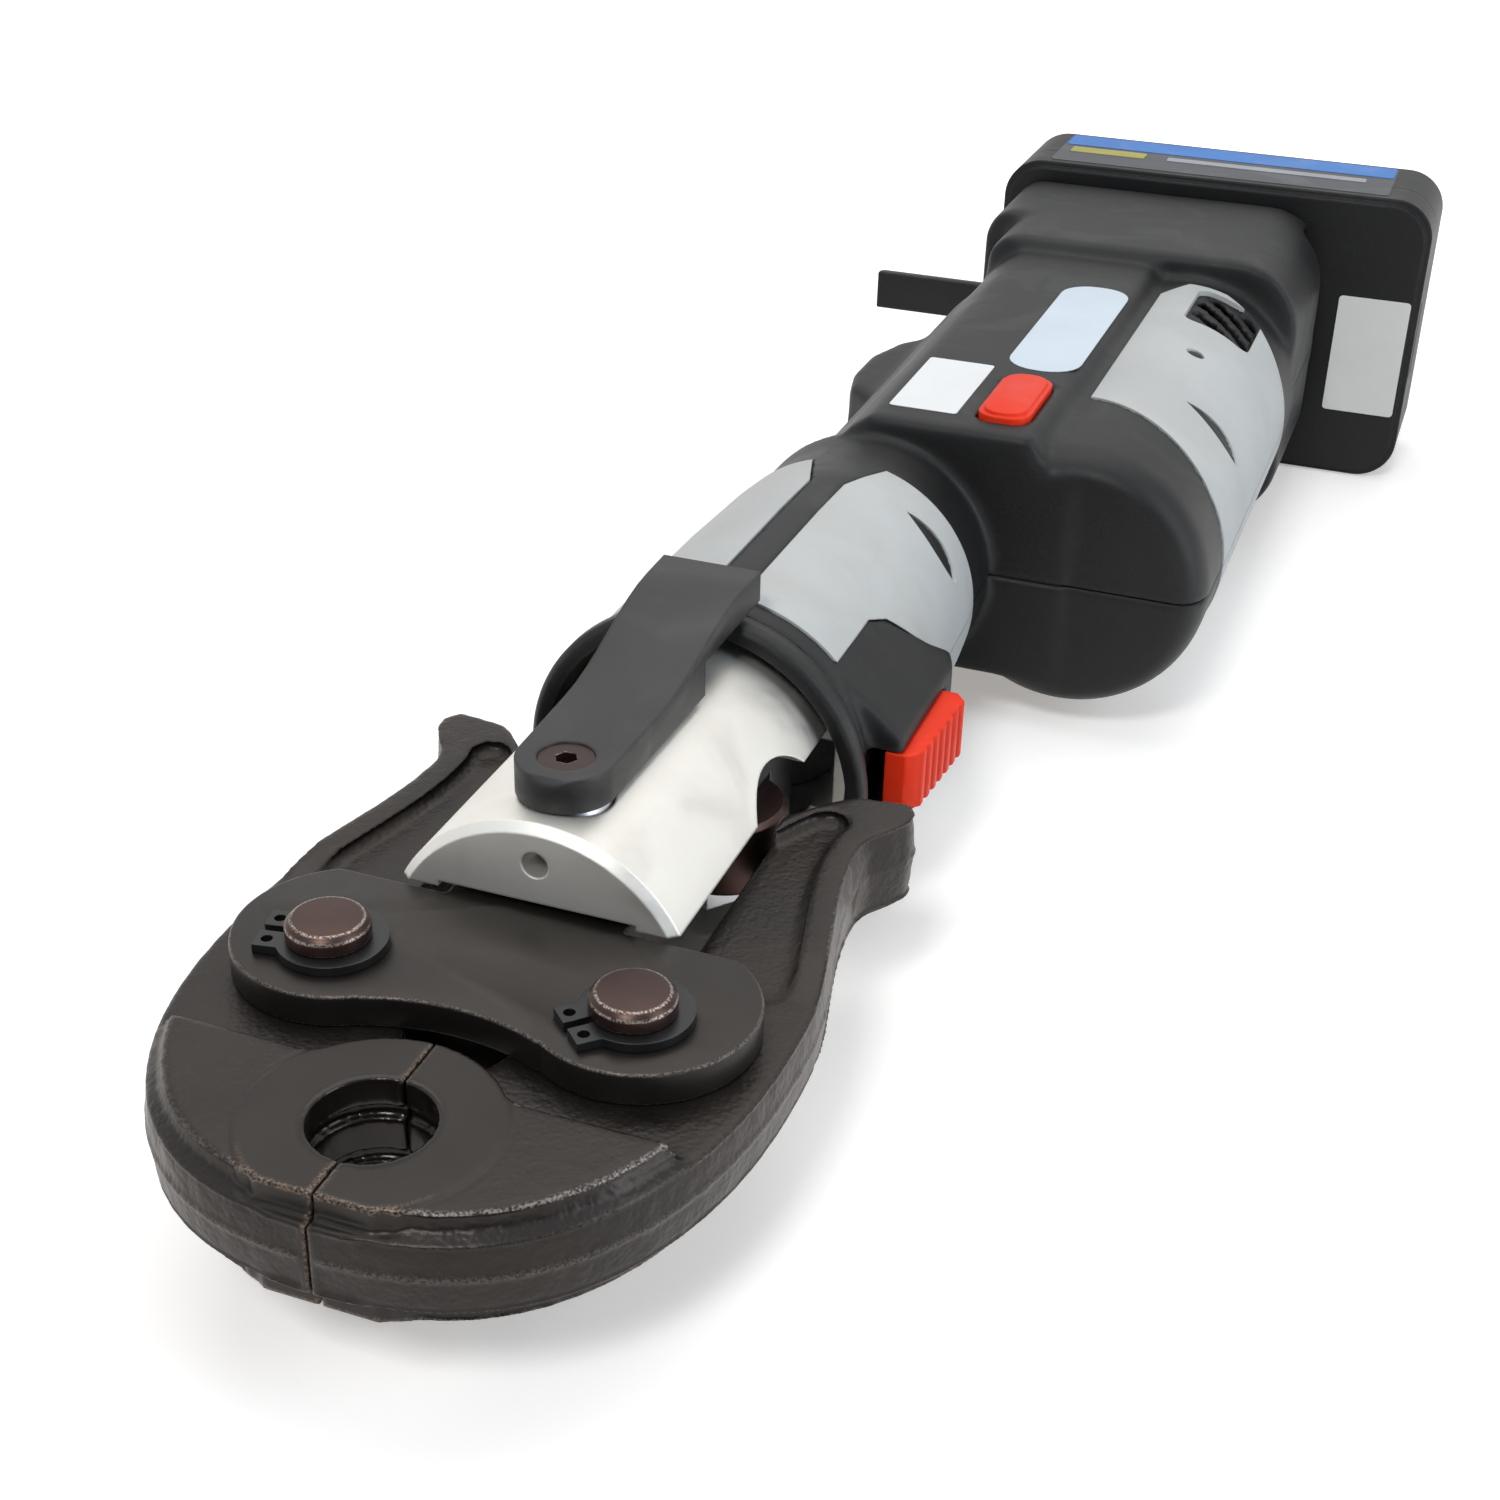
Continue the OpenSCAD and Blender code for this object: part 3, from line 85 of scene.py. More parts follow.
def at(u, v, w):
    """A point measured in millimetres from the middle of the pressing bore."""
    return BORE + Vector((u, v, w)) * MM


# %% [markdown]
# ## Camera
# The photograph looks down the tool from above the jaw. Its perspective is strong, so the eye, the
# turn and the focal length were all solved from edges that are known to be straight or round. The
# frame is slightly off the optical axis, which is what shift is for.

# %% Camera
FRAME_PX = 1500
FOCAL_PX = 2200
AXIS_PX = (723.15, 748.65)
SENSOR = 36.0
view_right = Vector((0.93526, 0.35341, 0.01979))
view_down = Vector((0.18876, -0.45069, -0.87250))
view_ahead = Vector((-0.29943, 0.81975, -0.48822))
eye = at(114.83, -189.28, 184.80)

lens = bpy.data.cameras.new("photo_camera")
lens.sensor_width = SENSOR
lens.lens = SENSOR * FOCAL_PX / FRAME_PX
lens.shift_x = (FRAME_PX / 2 - AXIS_PX[0]) / FRAME_PX
lens.shift_y = (AXIS_PX[1] - FRAME_PX / 2) / FRAME_PX
lens.clip_start = 0.01
camera = bpy.data.objects.new("photo_camera", lens)
bpy.context.scene.collection.objects.link(camera)
turn = Matrix((view_right, -view_down, -view_ahead)).transposed().to_4x4()
camera.matrix_world = Matrix.Translation(eye) @ turn
bpy.context.scene.camera = camera
print("camera", [round(x, 4) for x in eye], "lens", round(lens.lens, 2))

# %% [markdown]
# ## Node helpers
# Every finish below is a small network, so one helper makes a node, sets its properties and joins or
# fills its inputs. A second one opens a group with named sockets, so that wear, grain and dirt are
# described once and used by many finishes.

# %% Node helpers


def add(tree, kind, inputs=(), **props):
    """A new node: props are its settings, inputs are values or sockets by name or number."""
    node = tree.nodes.new(kind)
    for key, value in props.items():
        setattr(node, key, value)
    for key, value in dict(inputs).items():
        if isinstance(value, bpy.types.NodeSocket):
            tree.links.new(value, node.inputs[key])
        else:
            node.inputs[key].default_value = value
    return node


def math_node(tree, operation, a, b=0.0):
    return add(tree, "ShaderNodeMath", {0: a, 1: b}, operation=operation).outputs[0]


def ramp(tree, value, low, high, to_low=0.0, to_high=1.0):
    """Value stretched so that low gives to_low and high gives to_high, with soft ends."""
    inputs = {"Value": value, "From Min": low, "From Max": high, "To Min": to_low, "To Max": to_high}
    return add(tree, "ShaderNodeMapRange", inputs, interpolation_type="SMOOTHSTEP").outputs[0]


def mix_colour(tree, factor, a, b):
    node = tree.nodes.new("ShaderNodeMix")
    node.data_type = "RGBA"
    sockets = {s.identifier: s for s in node.inputs}
    for key, value in (("Factor_Float", factor), ("A_Color", a), ("B_Color", b)):
        if isinstance(value, bpy.types.NodeSocket):
            tree.links.new(value, sockets[key])
        else:
            sockets[key].default_value = value if key == "Factor_Float" else (*value, 1.0)
    return next(s for s in node.outputs if s.identifier == "Result_Color")


def new_group(name, inputs, outputs):
    """An empty shader group with its named sockets, and its two end nodes."""
    tree = bpy.data.node_groups.new(name, "ShaderNodeTree")
    for label, kind, value in inputs:
        socket = tree.interface.new_socket(name=label, in_out="INPUT", socket_type=kind)
        socket.default_value = value
    for label, kind in outputs:
        tree.interface.new_socket(name=label, in_out="OUTPUT", socket_type=kind)
    return tree, tree.nodes.new("NodeGroupInput").outputs, tree.nodes.new("NodeGroupOutput").inputs


print("node helpers ready")

# %% [markdown]
# ## Shared effects
# Four things happen to most surfaces of a used tool. Edges are never sharp, and the finish rubs off
# there first. Moulded plastic carries a fine grain from its mould. Steel that was forged keeps a
# pitted skin. Hands leave a faint unevenness in the gloss. Each is a group that puts out masks,
# heights or normals, so a finish can take as much of it as it needs.

# %% Rounded and rubbed edges
FLOAT, VECTOR = "NodeSocketFloat", "NodeSocketVector"
edge, edge_in, edge_out = new_group(
    "rubbed_edge",
    [("Radius", FLOAT, 0.0004), ("Low", FLOAT, 0.03), ("High", FLOAT, 0.3), ("Patches", FLOAT, 420.0)],
    [("Mask", FLOAT), ("Breakup", FLOAT), ("Normal", VECTOR)],
)
soft = add(edge, "ShaderNodeBevel", {"Radius": edge_in["Radius"]}, samples=6).outputs["Normal"]
flat = add(edge, "ShaderNodeNewGeometry").outputs["Normal"]
along = add(edge, "ShaderNodeVectorMath", {0: soft, 1: flat}, operation="DOT_PRODUCT").outputs["Value"]
turned_by = math_node(edge, "SUBTRACT", 1.0, along)
bright = add(edge, "ShaderNodeMapRange", {"Value": turned_by, "From Min": edge_in["Low"],
                                          "From Max": edge_in["High"]}).outputs[0]
place = add(edge, "ShaderNodeTexCoord").outputs["Object"]
patchy = add(edge, "ShaderNodeTexNoise", {"Vector": place, "Scale": edge_in["Patches"], "Detail": 3.0})
breakup = ramp(edge, patchy.outputs[0], low=0.38, high=0.62)
edge.links.new(math_node(edge, "MULTIPLY", bright, breakup), edge_out["Mask"])
edge.links.new(breakup, edge_out["Breakup"])
edge.links.new(soft, edge_out["Normal"])
print("group", edge.name)

# %% Mould grain
CELL_SHARE = 0.5
grain, grain_in, grain_out = new_group(
    "mould_grain", [("Scale", FLOAT, 2600.0)], [("Height", FLOAT), ("Variation", FLOAT)]
)
place = add(grain, "ShaderNodeTexCoord").outputs["Object"]
fine = add(grain, "ShaderNodeTexNoise", {"Vector": place, "Scale": grain_in["Scale"], "Detail": 2.0})
cells = add(grain, "ShaderNodeTexVoronoi", {"Vector": place, "Scale": grain_in["Scale"]})
raised = math_node(grain, "MULTIPLY", cells.outputs["Distance"], CELL_SHARE)
grain.links.new(math_node(grain, "ADD", fine.outputs[0], raised), grain_out["Height"])
broad = add(grain, "ShaderNodeTexNoise", {"Vector": place, "Scale": 45.0, "Detail": 5.0}).outputs[0]
grain.links.new(broad, grain_out["Variation"])
print("group", grain.name)

# %% Forged skin
PIT_SHARE = 0.55
skin, skin_in, skin_out = new_group(
    "forged_skin", [("Pits", FLOAT, 700.0)], [("Height", FLOAT), ("Scale_Patches", FLOAT)]
)
place = add(skin, "ShaderNodeTexCoord").outputs["Object"]
pits = add(skin, "ShaderNodeTexVoronoi", {"Vector": place, "Scale": skin_in["Pits"], "Randomness": 1.0},
           feature="SMOOTH_F1").outputs["Distance"]
lumps = add(skin, "ShaderNodeTexNoise", {"Vector": place, "Scale": 260.0, "Detail": 6.0, "Roughness": 0.62})
sunk = math_node(skin, "MULTIPLY", pits, PIT_SHARE)
skin.links.new(math_node(skin, "ADD", sunk, lumps.outputs[0]), skin_out["Height"])
patches = add(skin, "ShaderNodeTexNoise", {"Vector": place, "Scale": 70.0, "Detail": 4.0}).outputs[0]
skin.links.new(patches, skin_out["Scale_Patches"])
print("group", skin.name)

# %% Handling marks
marks, marks_in, marks_out = new_group("handling_marks", [("Scale", FLOAT, 60.0)], [("Mask", FLOAT)])
place = add(marks, "ShaderNodeTexCoord").outputs["Object"]
smear = add(marks, "ShaderNodeTexNoise", {"Vector": place, "Scale": marks_in["Scale"], "Detail": 6.0,
                                          "Roughness": 0.6, "Distortion": 0.8}).outputs[0]
marks.links.new(ramp(marks, smear, low=0.42, high=0.72), marks_out["Mask"])
print("group", marks.name)

# %% [markdown]
# ## Finishes
# A finish is one Principled shader with the shared effects plugged into its colour, roughness and
# normal. They differ in colour, gloss, how metallic they are, which texture raises them and what shows
# where the edge is rubbed. So one function makes them all, each from a recipe of named values, and no
# network has to be built twice.

# %% One function for every finish
POLISH = 0.18
STAIN_SHARE = 0.16
finishes = {}


def effect(tree, group, **values):
    """A shared effect placed in a finish, with its own values."""
    node = add(tree, "ShaderNodeGroup", node_tree=group)
    for key, value in values.items():
        node.inputs[key].default_value = value
    return node.outputs


def finish(name, colour, second, rough, rubbed, metal=0.0, texture="grain", scale=2600.0, height=0.02,
           radius=0.4, wear=0.5, patches=420.0, rough_spread=0.05, specular=0.5, tint=(1.0, 1.0, 1.0),
           painted=None, stain=None):
    """A Principled finish: colours are linear, radius and height are in millimetres.

    The rubbed colour shows along edges and where the vertex attribute "worn" is painted, which on the
    jaws also holds a painted highlight towards the right; the colour given as painted shows where the
    attribute "tan" is. A stain is a colour that handling leaves.
    """
    material = bpy.data.materials.new(name)
    material.use_nodes = True
    tree = material.node_tree
    shader = tree.nodes["Principled BSDF"]

    def attribute(label):
        return add(tree, "ShaderNodeAttribute", attribute_name=label).outputs["Fac"]

    worn = effect(tree, edge, Radius=radius * MM, Patches=patches)
    handled = effect(tree, marks)
    gloss = ramp(tree, handled["Mask"], 0.0, 1.0, rough + rough_spread, rough - rough_spread)
    if texture == "forged":
        surface = effect(tree, skin, Pits=scale)
        mottle = surface["Scale_Patches"]
        relief = math_node(tree, "MULTIPLY", surface["Height"], attribute("forged"))
        polish = math_node(tree, "MULTIPLY", attribute("polished"), POLISH)
        gloss = math_node(tree, "SUBTRACT", gloss, polish)
    else:
        surface = effect(tree, grain, Scale=scale)
        mottle = surface["Variation"]
        relief = surface["Height"]
    base = mix_colour(tree, ramp(tree, mottle, low=0.3, high=0.7), colour, second)
    if stain:
        base = mix_colour(tree, math_node(tree, "MULTIPLY", handled["Mask"], STAIN_SHARE), base, stain)
    if painted:
        base = mix_colour(tree, math_node(tree, "MULTIPLY", attribute("tan"), worn["Breakup"]), base, painted)
    rub = math_node(tree, "MULTIPLY", attribute("worn"), worn["Breakup"])
    mask = math_node(tree, "MAXIMUM", worn["Mask"], rub)
    base = mix_colour(tree, math_node(tree, "MULTIPLY", mask, wear), base, rubbed)
    tree.links.new(base, shader.inputs["Base Color"])
    tree.links.new(gloss, shader.inputs["Roughness"])
    shader.inputs["Metallic"].default_value = metal
    shader.inputs["Specular IOR Level"].default_value = specular
    shader.inputs["Specular Tint"].default_value = (*tint, 1.0)
    bump = add(tree, "ShaderNodeBump", {"Height": relief, "Normal": worn["Normal"],
                                        "Distance": height * MM, "Strength": 1.0})
    tree.links.new(bump.outputs["Normal"], shader.inputs["Normal"])
    return material


def make_finishes(recipes):
    """A finish for each recipe, kept by its name."""
    for name, recipe in recipes.items():
        finishes[name] = finish(name, **recipe)
    print("finishes", *recipes)


print("effects shared by all finishes:", edge.name, grain.name, skin.name, marks.name)

# %% Finishes of the jaw set and the head
WARM = (1.0, 0.90, 0.83)
MACHINED = {"scale": 1500.0, "height": 0.004}
make_finishes({
    # On the jaws the rubbed colour is also a painted highlight, brighter on the right-hand edges.
    "forged_black": dict(
        colour=(0.0135, 0.0108, 0.0094), second=(0.008, 0.0067, 0.0061), rubbed=(0.34, 0.30, 0.27),
        painted=(0.20, 0.145, 0.105), tint=WARM, rough=0.33, metal=0.2, specular=0.38, texture="forged",
        scale=1300.0, height=0.12, radius=0.3, wear=0.65, patches=2600.0),
    "plate_black": dict(
        colour=(0.014, 0.0118, 0.0105), second=(0.009, 0.0078, 0.0072), rubbed=(0.24, 0.20, 0.17),
        tint=WARM, rough=0.36, metal=0.2, specular=0.42, scale=1800.0, height=0.006, radius=0.4, wear=0.5,
        patches=3200.0),
    "pin_brown": dict(
        colour=(0.070, 0.037, 0.029), second=(0.040, 0.023, 0.020), rubbed=(0.58, 0.49, 0.42),
        rough=0.34, metal=0.7, radius=0.3, wear=0.6, patches=3000.0, **MACHINED),
    "clip_black": dict(
        colour=(0.012, 0.012, 0.012), second=(0.009, 0.009, 0.009), rubbed=(0.10, 0.09, 0.09),
        rough=0.30, metal=0.2, radius=0.2, **MACHINED),
    "fork_satin": dict(
        colour=(0.78, 0.755, 0.70), second=(0.735, 0.71, 0.66), rubbed=(0.92, 0.90, 0.86),
        stain=(0.42, 0.39, 0.34), rough=0.50, metal=0.88, scale=3200.0, height=0.012, radius=0.5, wear=0.6),
    "lever_black": dict(
        colour=(0.016, 0.0150, 0.0145), second=(0.011, 0.0105, 0.010), rubbed=(0.06, 0.058, 0.056),
        rough=0.42, specular=0.42, scale=2200.0, height=0.010, radius=0.9, wear=0.3),
})

# %% Finishes of the handle
make_finishes({
    "black_plastic": dict(
        colour=(0.0095, 0.0093, 0.0092), second=(0.0068, 0.0068, 0.0068), rubbed=(0.05, 0.049, 0.048),
        rough=0.47, rough_spread=0.03, specular=0.30, height=0.022, radius=1.2, wear=0.25),
    "grey_plastic": dict(
        colour=(0.50, 0.51, 0.505), second=(0.455, 0.465, 0.46), rubbed=(0.60, 0.61, 0.60),
        stain=(0.34, 0.29, 0.21), rough=0.50, rough_spread=0.03, specular=0.35, height=0.016, radius=0.4,
        wear=0.5),
    "red_plastic": dict(
        colour=(0.82, 0.036, 0.007), second=(0.75, 0.030, 0.006), rubbed=(0.86, 0.075, 0.03),
        rough=0.42, specular=0.2, height=0.010, radius=0.5, wear=0.4),
})

# %% Finishes of what the case hides
make_finishes({
    "steel": dict(
        colour=(0.50, 0.50, 0.51), second=(0.42, 0.42, 0.43), rubbed=(0.7, 0.7, 0.7),
        rough=0.34, metal=1.0, radius=0.3, **MACHINED),
    "spring_steel": dict(
        colour=(0.52, 0.52, 0.54), second=(0.42, 0.42, 0.44), rubbed=(0.7, 0.7, 0.7),
        rough=0.30, metal=1.0, scale=1500.0, height=0.003, radius=0.1),
    "bronze": dict(
        colour=(0.55, 0.36, 0.15), second=(0.45, 0.28, 0.11), rubbed=(0.7, 0.5, 0.25),
        rough=0.38, metal=1.0, radius=0.3, **MACHINED),
    "seal_rubber": dict(
        colour=(0.020, 0.020, 0.020), second=(0.014, 0.014, 0.014), rubbed=(0.03, 0.03, 0.03),
        rough=0.7, scale=1800.0, height=0.01, radius=0.3),
    "alloy": dict(
        colour=(0.58, 0.59, 0.60), second=(0.50, 0.51, 0.52), rubbed=(0.75, 0.75, 0.75),
        rough=0.36, metal=1.0, radius=0.3, **MACHINED),
    "motor_steel": dict(
        colour=(0.22, 0.22, 0.23), second=(0.17, 0.17, 0.18), rubbed=(0.4, 0.4, 0.4),
        rough=0.40, metal=0.9, radius=0.3, **MACHINED),
    "gear_steel": dict(
        colour=(0.42, 0.42, 0.44), second=(0.34, 0.34, 0.36), rubbed=(0.62, 0.62, 0.62),
        rough=0.34, metal=1.0, radius=0.15, **MACHINED),
    "fan_plastic": dict(
        colour=(0.05, 0.05, 0.054), second=(0.04, 0.04, 0.044), rubbed=(0.09, 0.09, 0.09),
        rough=0.5, height=0.012, radius=0.2),
    "board_green": dict(
        colour=(0.020, 0.12, 0.05), second=(0.016, 0.09, 0.04), rubbed=(0.05, 0.16, 0.08),
        rough=0.4, height=0.008, radius=0.2),
    "contact_metal": dict(
        colour=(0.66, 0.50, 0.24), second=(0.56, 0.42, 0.19), rubbed=(0.8, 0.65, 0.35),
        rough=0.32, metal=1.0, radius=0.15, **MACHINED),
    "cell_sleeve": dict(
        colour=(0.06, 0.16, 0.40), second=(0.05, 0.13, 0.34), rubbed=(0.1, 0.2, 0.45),
        rough=0.42, height=0.008, radius=0.4),
})

# %% [markdown]
# ## Dressing the solids
# The record says which slot every solid takes its finish from, so the finishes are handed out by slot.

# %% Hand out the finishes
slot_of = {s["node"]: s["material_slot"] for s in frame["record"]["subparts"]}
for name, solid in nodes.items():
    solid.data.materials.clear()
    solid.data.materials.append(finishes[slot_of[name]])
print("dressed", len(nodes), "solids")

# %% [markdown]
# ## Soft edges and smooth curves
# A drawing cuts edges sharp, but a moulding, a lever or a stamped plate has rounded ones that catch the
# light. A rounded copy stands for the solid: its triangles are merged back into whole faces, a Bevel
# modifier rounds every corner that is sharper than a limit, and shading runs smoothly over the rest.
# A subdivision surface would have been the other way, but it would pull the flat faces out of true.

# %% Copies of a solid
WELD = 2e-6
FLAT = math.radians(0.3)


def merged_mesh(name):
    """A node's triangles joined at their corners, with flat areas made whole faces again."""
    mesh = nodes[name].data.copy()
    bm = bmesh.new()
    bm.from_mesh(mesh)
    bmesh.ops.remove_doubles(bm, verts=bm.verts, dist=WELD)
    bmesh.ops.dissolve_limit(bm, angle_limit=FLAT, verts=bm.verts, edges=bm.edges)
    bm.to_mesh(mesh)
    bm.free()
    return mesh


def shaped(mesh, kind, **settings):
    """The mesh after one modifier, as a plain mesh."""
    helper = bpy.data.objects.new("helper", mesh)
    bpy.context.scene.collection.objects.link(helper)
    modifier = helper.modifiers.new(kind, kind)
    for key, value in settings.items():
        setattr(modifier, key, value)
    ready = helper.evaluated_get(bpy.context.evaluated_depsgraph_get())
    result = bpy.data.meshes.new_from_object(ready)
    bpy.data.objects.remove(helper)
    return result


print("copies are joined within", WELD, "m")

# %% Pieces that stand for a solid
COLLAPSED = 1e-6


def new_piece(name, mesh, body, sharp=32.0):
    """An object that rides on a body, smooth but for edges sharper than a limit in degrees."""
    for polygon in mesh.polygons:
        polygon.use_smooth = True
    mesh.set_sharp_from_angle(angle=math.radians(sharp))
    piece = bpy.data.objects.new(name, mesh)
    bpy.context.scene.collection.objects.link(piece)
    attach(piece, body)
    return piece


def stand_for(name, mesh, sharp=32.0):
    """A piece with this mesh, less its collapsed faces, takes the node's place, finish and body."""
    bm = bmesh.new()
    bm.from_mesh(mesh)
    bmesh.ops.dissolve_degenerate(bm, dist=COLLAPSED, edges=bm.edges)
    bm.to_mesh(mesh)
    bm.free()
    mesh.materials.clear()
    mesh.materials.append(finishes[slot_of[name]])
    piece = new_piece(name + "_dressed", mesh, nodes[name]["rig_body"], sharp)
    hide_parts(name)
    print(piece.name, len(mesh.polygons), "faces")
    return piece


print("faces thinner than", COLLAPSED, "m are closed")

# %% Rounded copies


def paint(mesh, attribute, values):
    """A number for each vertex, which a finish can read by name."""
    mesh.attributes.new(attribute, "FLOAT", "POINT").data.foreach_set("value", np.clip(values, 0.0, 1.0))


def rounded(name, width, limit=35.0, segments=3):
    """The node's mesh with its corners rounded by a width in millimetres and painted as worn there."""
    mesh = merged_mesh(name)
    mesh.materials.append(mesh.materials[0])
    mesh = shaped(mesh, "BEVEL", limit_method="ANGLE", angle_limit=math.radians(limit), width=width * MM,
                  segments=segments, miter_outer="MITER_ARC", material=1)
    rim = np.ones(len(mesh.vertices))
    for polygon in mesh.polygons:
        if polygon.material_index == 0:
            rim[list(polygon.vertices)] = 0.0
        polygon.material_index = 0
    paint(mesh, "worn", rim)
    return mesh


print("rounding ready")

# %% Lever, plates, pins, trigger, tab and latch
ROUNDED = {"lock_lever": 0.9, "plate_upper": 0.45, "plate_lower": 0.45, "pivot_pin_left": 0.5,
           "pivot_pin_right": 0.5, "trigger": 0.35, "hang_tab": 0.5, "release_button": 0.6,
           "battery_latch": 0.4, "nose_ring": 0.4}
for name, width in ROUNDED.items():
    stand_for(name, rounded(name, width))

# %% [markdown]
# ## Easing a surface
# Castings, forgings and mouldings flow from one form into the next. An even skin of small faces can be
# eased the way a worn pebble is: each vertex moves a little towards the mean of its neighbours, again
# and again, as far as a weight allows. A sculptor's smooth brush does the same. The weight is what keeps
# a machined face flat or a seat sharp.

# %% Easing tools


def coordinates(mesh):
    """Vertex places in millimetres from the middle of the bore."""
    place = np.empty(len(mesh.vertices) * 3)
    mesh.vertices.foreach_get("co", place)
    return (place.reshape(-1, 3) - np.array(BORE)) / MM


def joined(mesh):
    """The mesh's edges as pairs of vertices, and how many edges meet at each vertex."""
    pairs = np.empty(len(mesh.edges) * 2, dtype=np.int32)
    mesh.edges.foreach_get("vertices", pairs)
    return pairs.reshape(-1, 2), np.bincount(pairs, minlength=len(mesh.vertices)).astype(float)


def neighbour_mean(edges, valence, values):
    """For each vertex, the mean of a value over the vertices it is joined to."""
    total = np.empty_like(values)
    for axis in range(values.shape[1]):
        total[:, axis] = (np.bincount(edges[:, 0], values[edges[:, 1], axis], len(values))
                          + np.bincount(edges[:, 1], values[edges[:, 0], axis], len(values)))
    return total / valence[:, None]


def eased(mesh, place, weight, rounds):
    """Places after some rounds of moving each vertex half way to its neighbours, times its weight."""
    edges, valence = joined(mesh)
    for _ in range(rounds):
        place = place + (neighbour_mean(edges, valence, place) - place) * (0.5 * weight)[:, None]
    return place


def normals_of(mesh, place):
    """Moves the vertices to their places, and gives their normals there."""
    mesh.vertices.foreach_set("co", (place * MM + np.array(BORE)).ravel())
    mesh.update()
    normal = np.empty(len(mesh.vertices) * 3)
    mesh.vertices.foreach_get("normal", normal)
    return normal.reshape(-1, 3)


def rise(value, start, span):
    """Nought up to start, then a straight rise to one over the span."""
    return np.clip((value - start) / span, 0.0, 1.0)


def from_axis(place, u=0.0, v=0.0):
    """How far each place lies from an upright axis, the bore's own unless another is given."""
    return np.hypot(place[:, 0] - u, place[:, 1] - v)


print("easing tools ready")

# %% [markdown]
# ## Forged jaws
# Each jaw is drop forged in two dies and then machined round the bore, at the split and at the pin. A
# forging has no sharp edge, a raised seam where the dies met, walls that lean away from that seam so
# that it left the dies, and a slightly pitted skin. The solid gives the main form, and easing it leaves
# the machined faces as they are. The finish reads what is painted here: bright where the edge is worn,
# with a painted highlight that makes the worn edges brighter towards the right, tan at the split, pitted
# where it is as forged and polished in the bore. Lengths are in millimetres, and places are measured from the
# middle of the bore.

# %% What is forged and what is machined
SKIN = 0.4
FORGE_ROUNDS = 20
MACHINED_RING = 17.2
RING_FACE = 4.9
RING_MARGIN = 0.6
BORE_REACH = 10.2
PIN_REACH = 7.0
SPLIT_END = MACHINED_RING + 1.0
SPLIT_REACH = 0.8
UNCUT = 9.0
EASE_SPAN = 0.8
EASE_LEAST = 0.06


def forging(place, pin):
    """One where the surface is as forged, falling to nothing where it was machined."""
    bore = from_axis(place)
    cut = np.minimum.reduce([
        bore - BORE_REACH,
        from_axis(place, pin[0], pin[1]) - PIN_REACH,
        np.where(place[:, 1] < SPLIT_END, np.abs(place[:, 0]) - SPLIT_REACH, UNCUT),
        np.where(np.abs(place[:, 2]) > RING_FACE, bore - MACHINED_RING - RING_MARGIN, UNCUT),
    ])
    return np.clip(cut / EASE_SPAN, EASE_LEAST, 1.0)


print("jaw skin of", SKIN, "mm, eased", FORGE_ROUNDS, "times")

# %% Seam, lean and pits
SEAM_HEIGHT = 0.4
SEAM_WIDTH = 0.45
SEAM_PROUD = 0.22
SEAM_FACING = 0.3
DIE_LEAN = 0.085
WALL_FROM, WALL_SPAN = 0.7, 0.25
AS_FORGED = 0.9
BROAD_PITS, BROAD_PER_MM = 0.08, 0.45
FINE_PITS, FINE_PER_MM = 0.055, 1.3
PITS_ON_TOP = 0.4


def facing_out(place, normal):
    """One where the surface faces straight away from the bore, minus one where it faces it."""
    return (normal[:, :2] * place[:, :2]).sum(axis=1) / from_axis(place)


def die_marks(place, normal, soft, outward):
    """Raises the seam, leans the walls and pits the skin of these places, and gives the seam's mask."""
    wall = rise(np.hypot(normal[:, 0], normal[:, 1]), WALL_FROM, WALL_SPAN) * soft
    above_seam = place[:, 2] - SEAM_HEIGHT
    seam = np.exp(-(above_seam / SEAM_WIDTH) ** 2) * wall * (outward > SEAM_FACING)
    lean = DIE_LEAN * np.abs(above_seam) * wall
    place[:, :2] += normal[:, :2] * (SEAM_PROUD * seam - lean)[:, None]
    broad = np.array([noise.noise(Vector(p) * BROAD_PER_MM) for p in place])
    fine = np.array([noise.noise(Vector(p) * FINE_PER_MM) for p in place])
    share = (soft > AS_FORGED) * (PITS_ON_TOP + (1.0 - PITS_ON_TOP) * wall)
    place += normal * ((BROAD_PITS * broad + FINE_PITS * fine) * share)[:, None]
    return seam


print("seam", SEAM_PROUD, "mm proud, pits to", BROAD_PITS + FINE_PITS, "mm")

# %% Worn edges and the tan split
EDGE_BULGE, RIM_BULGE, BULGE_SPAN = 0.022, 0.02, 0.04
EDGE_HEIGHT, EDGE_SPAN, EDGE_LEAST = 6.4, 1.5, 0.10
EDGE_FACING = 0.25
HALF_SOFT = 0.5
# Painted highlight: the worn edges of the jaws are painted brighter from the left towards the right.
MIDDLE_HIGHLIGHT, HIGHLIGHT_WIDTH, LEAST_HIGHLIGHT = 0.55, 30.0, 0.3
SEAM_WEAR = 0.35
TAN_FROM, TAN_SPAN = 0.15, 0.5
TAN_HEIGHT, TAN_FRONT = 8.4, -14.0
RIM_HEIGHT, RIM_FRONT, RIM_TAN = 8.0, -10.0, 0.8


def bulge_of(mesh, place, normal):
    """How far each vertex stands out from its neighbours, in steps of the skin, evened once."""
    edges, valence = joined(mesh)
    bulge = ((place - neighbour_mean(edges, valence, place)) * normal).sum(axis=1) / SKIN
    return neighbour_mean(edges, valence, bulge[:, None])[:, 0]


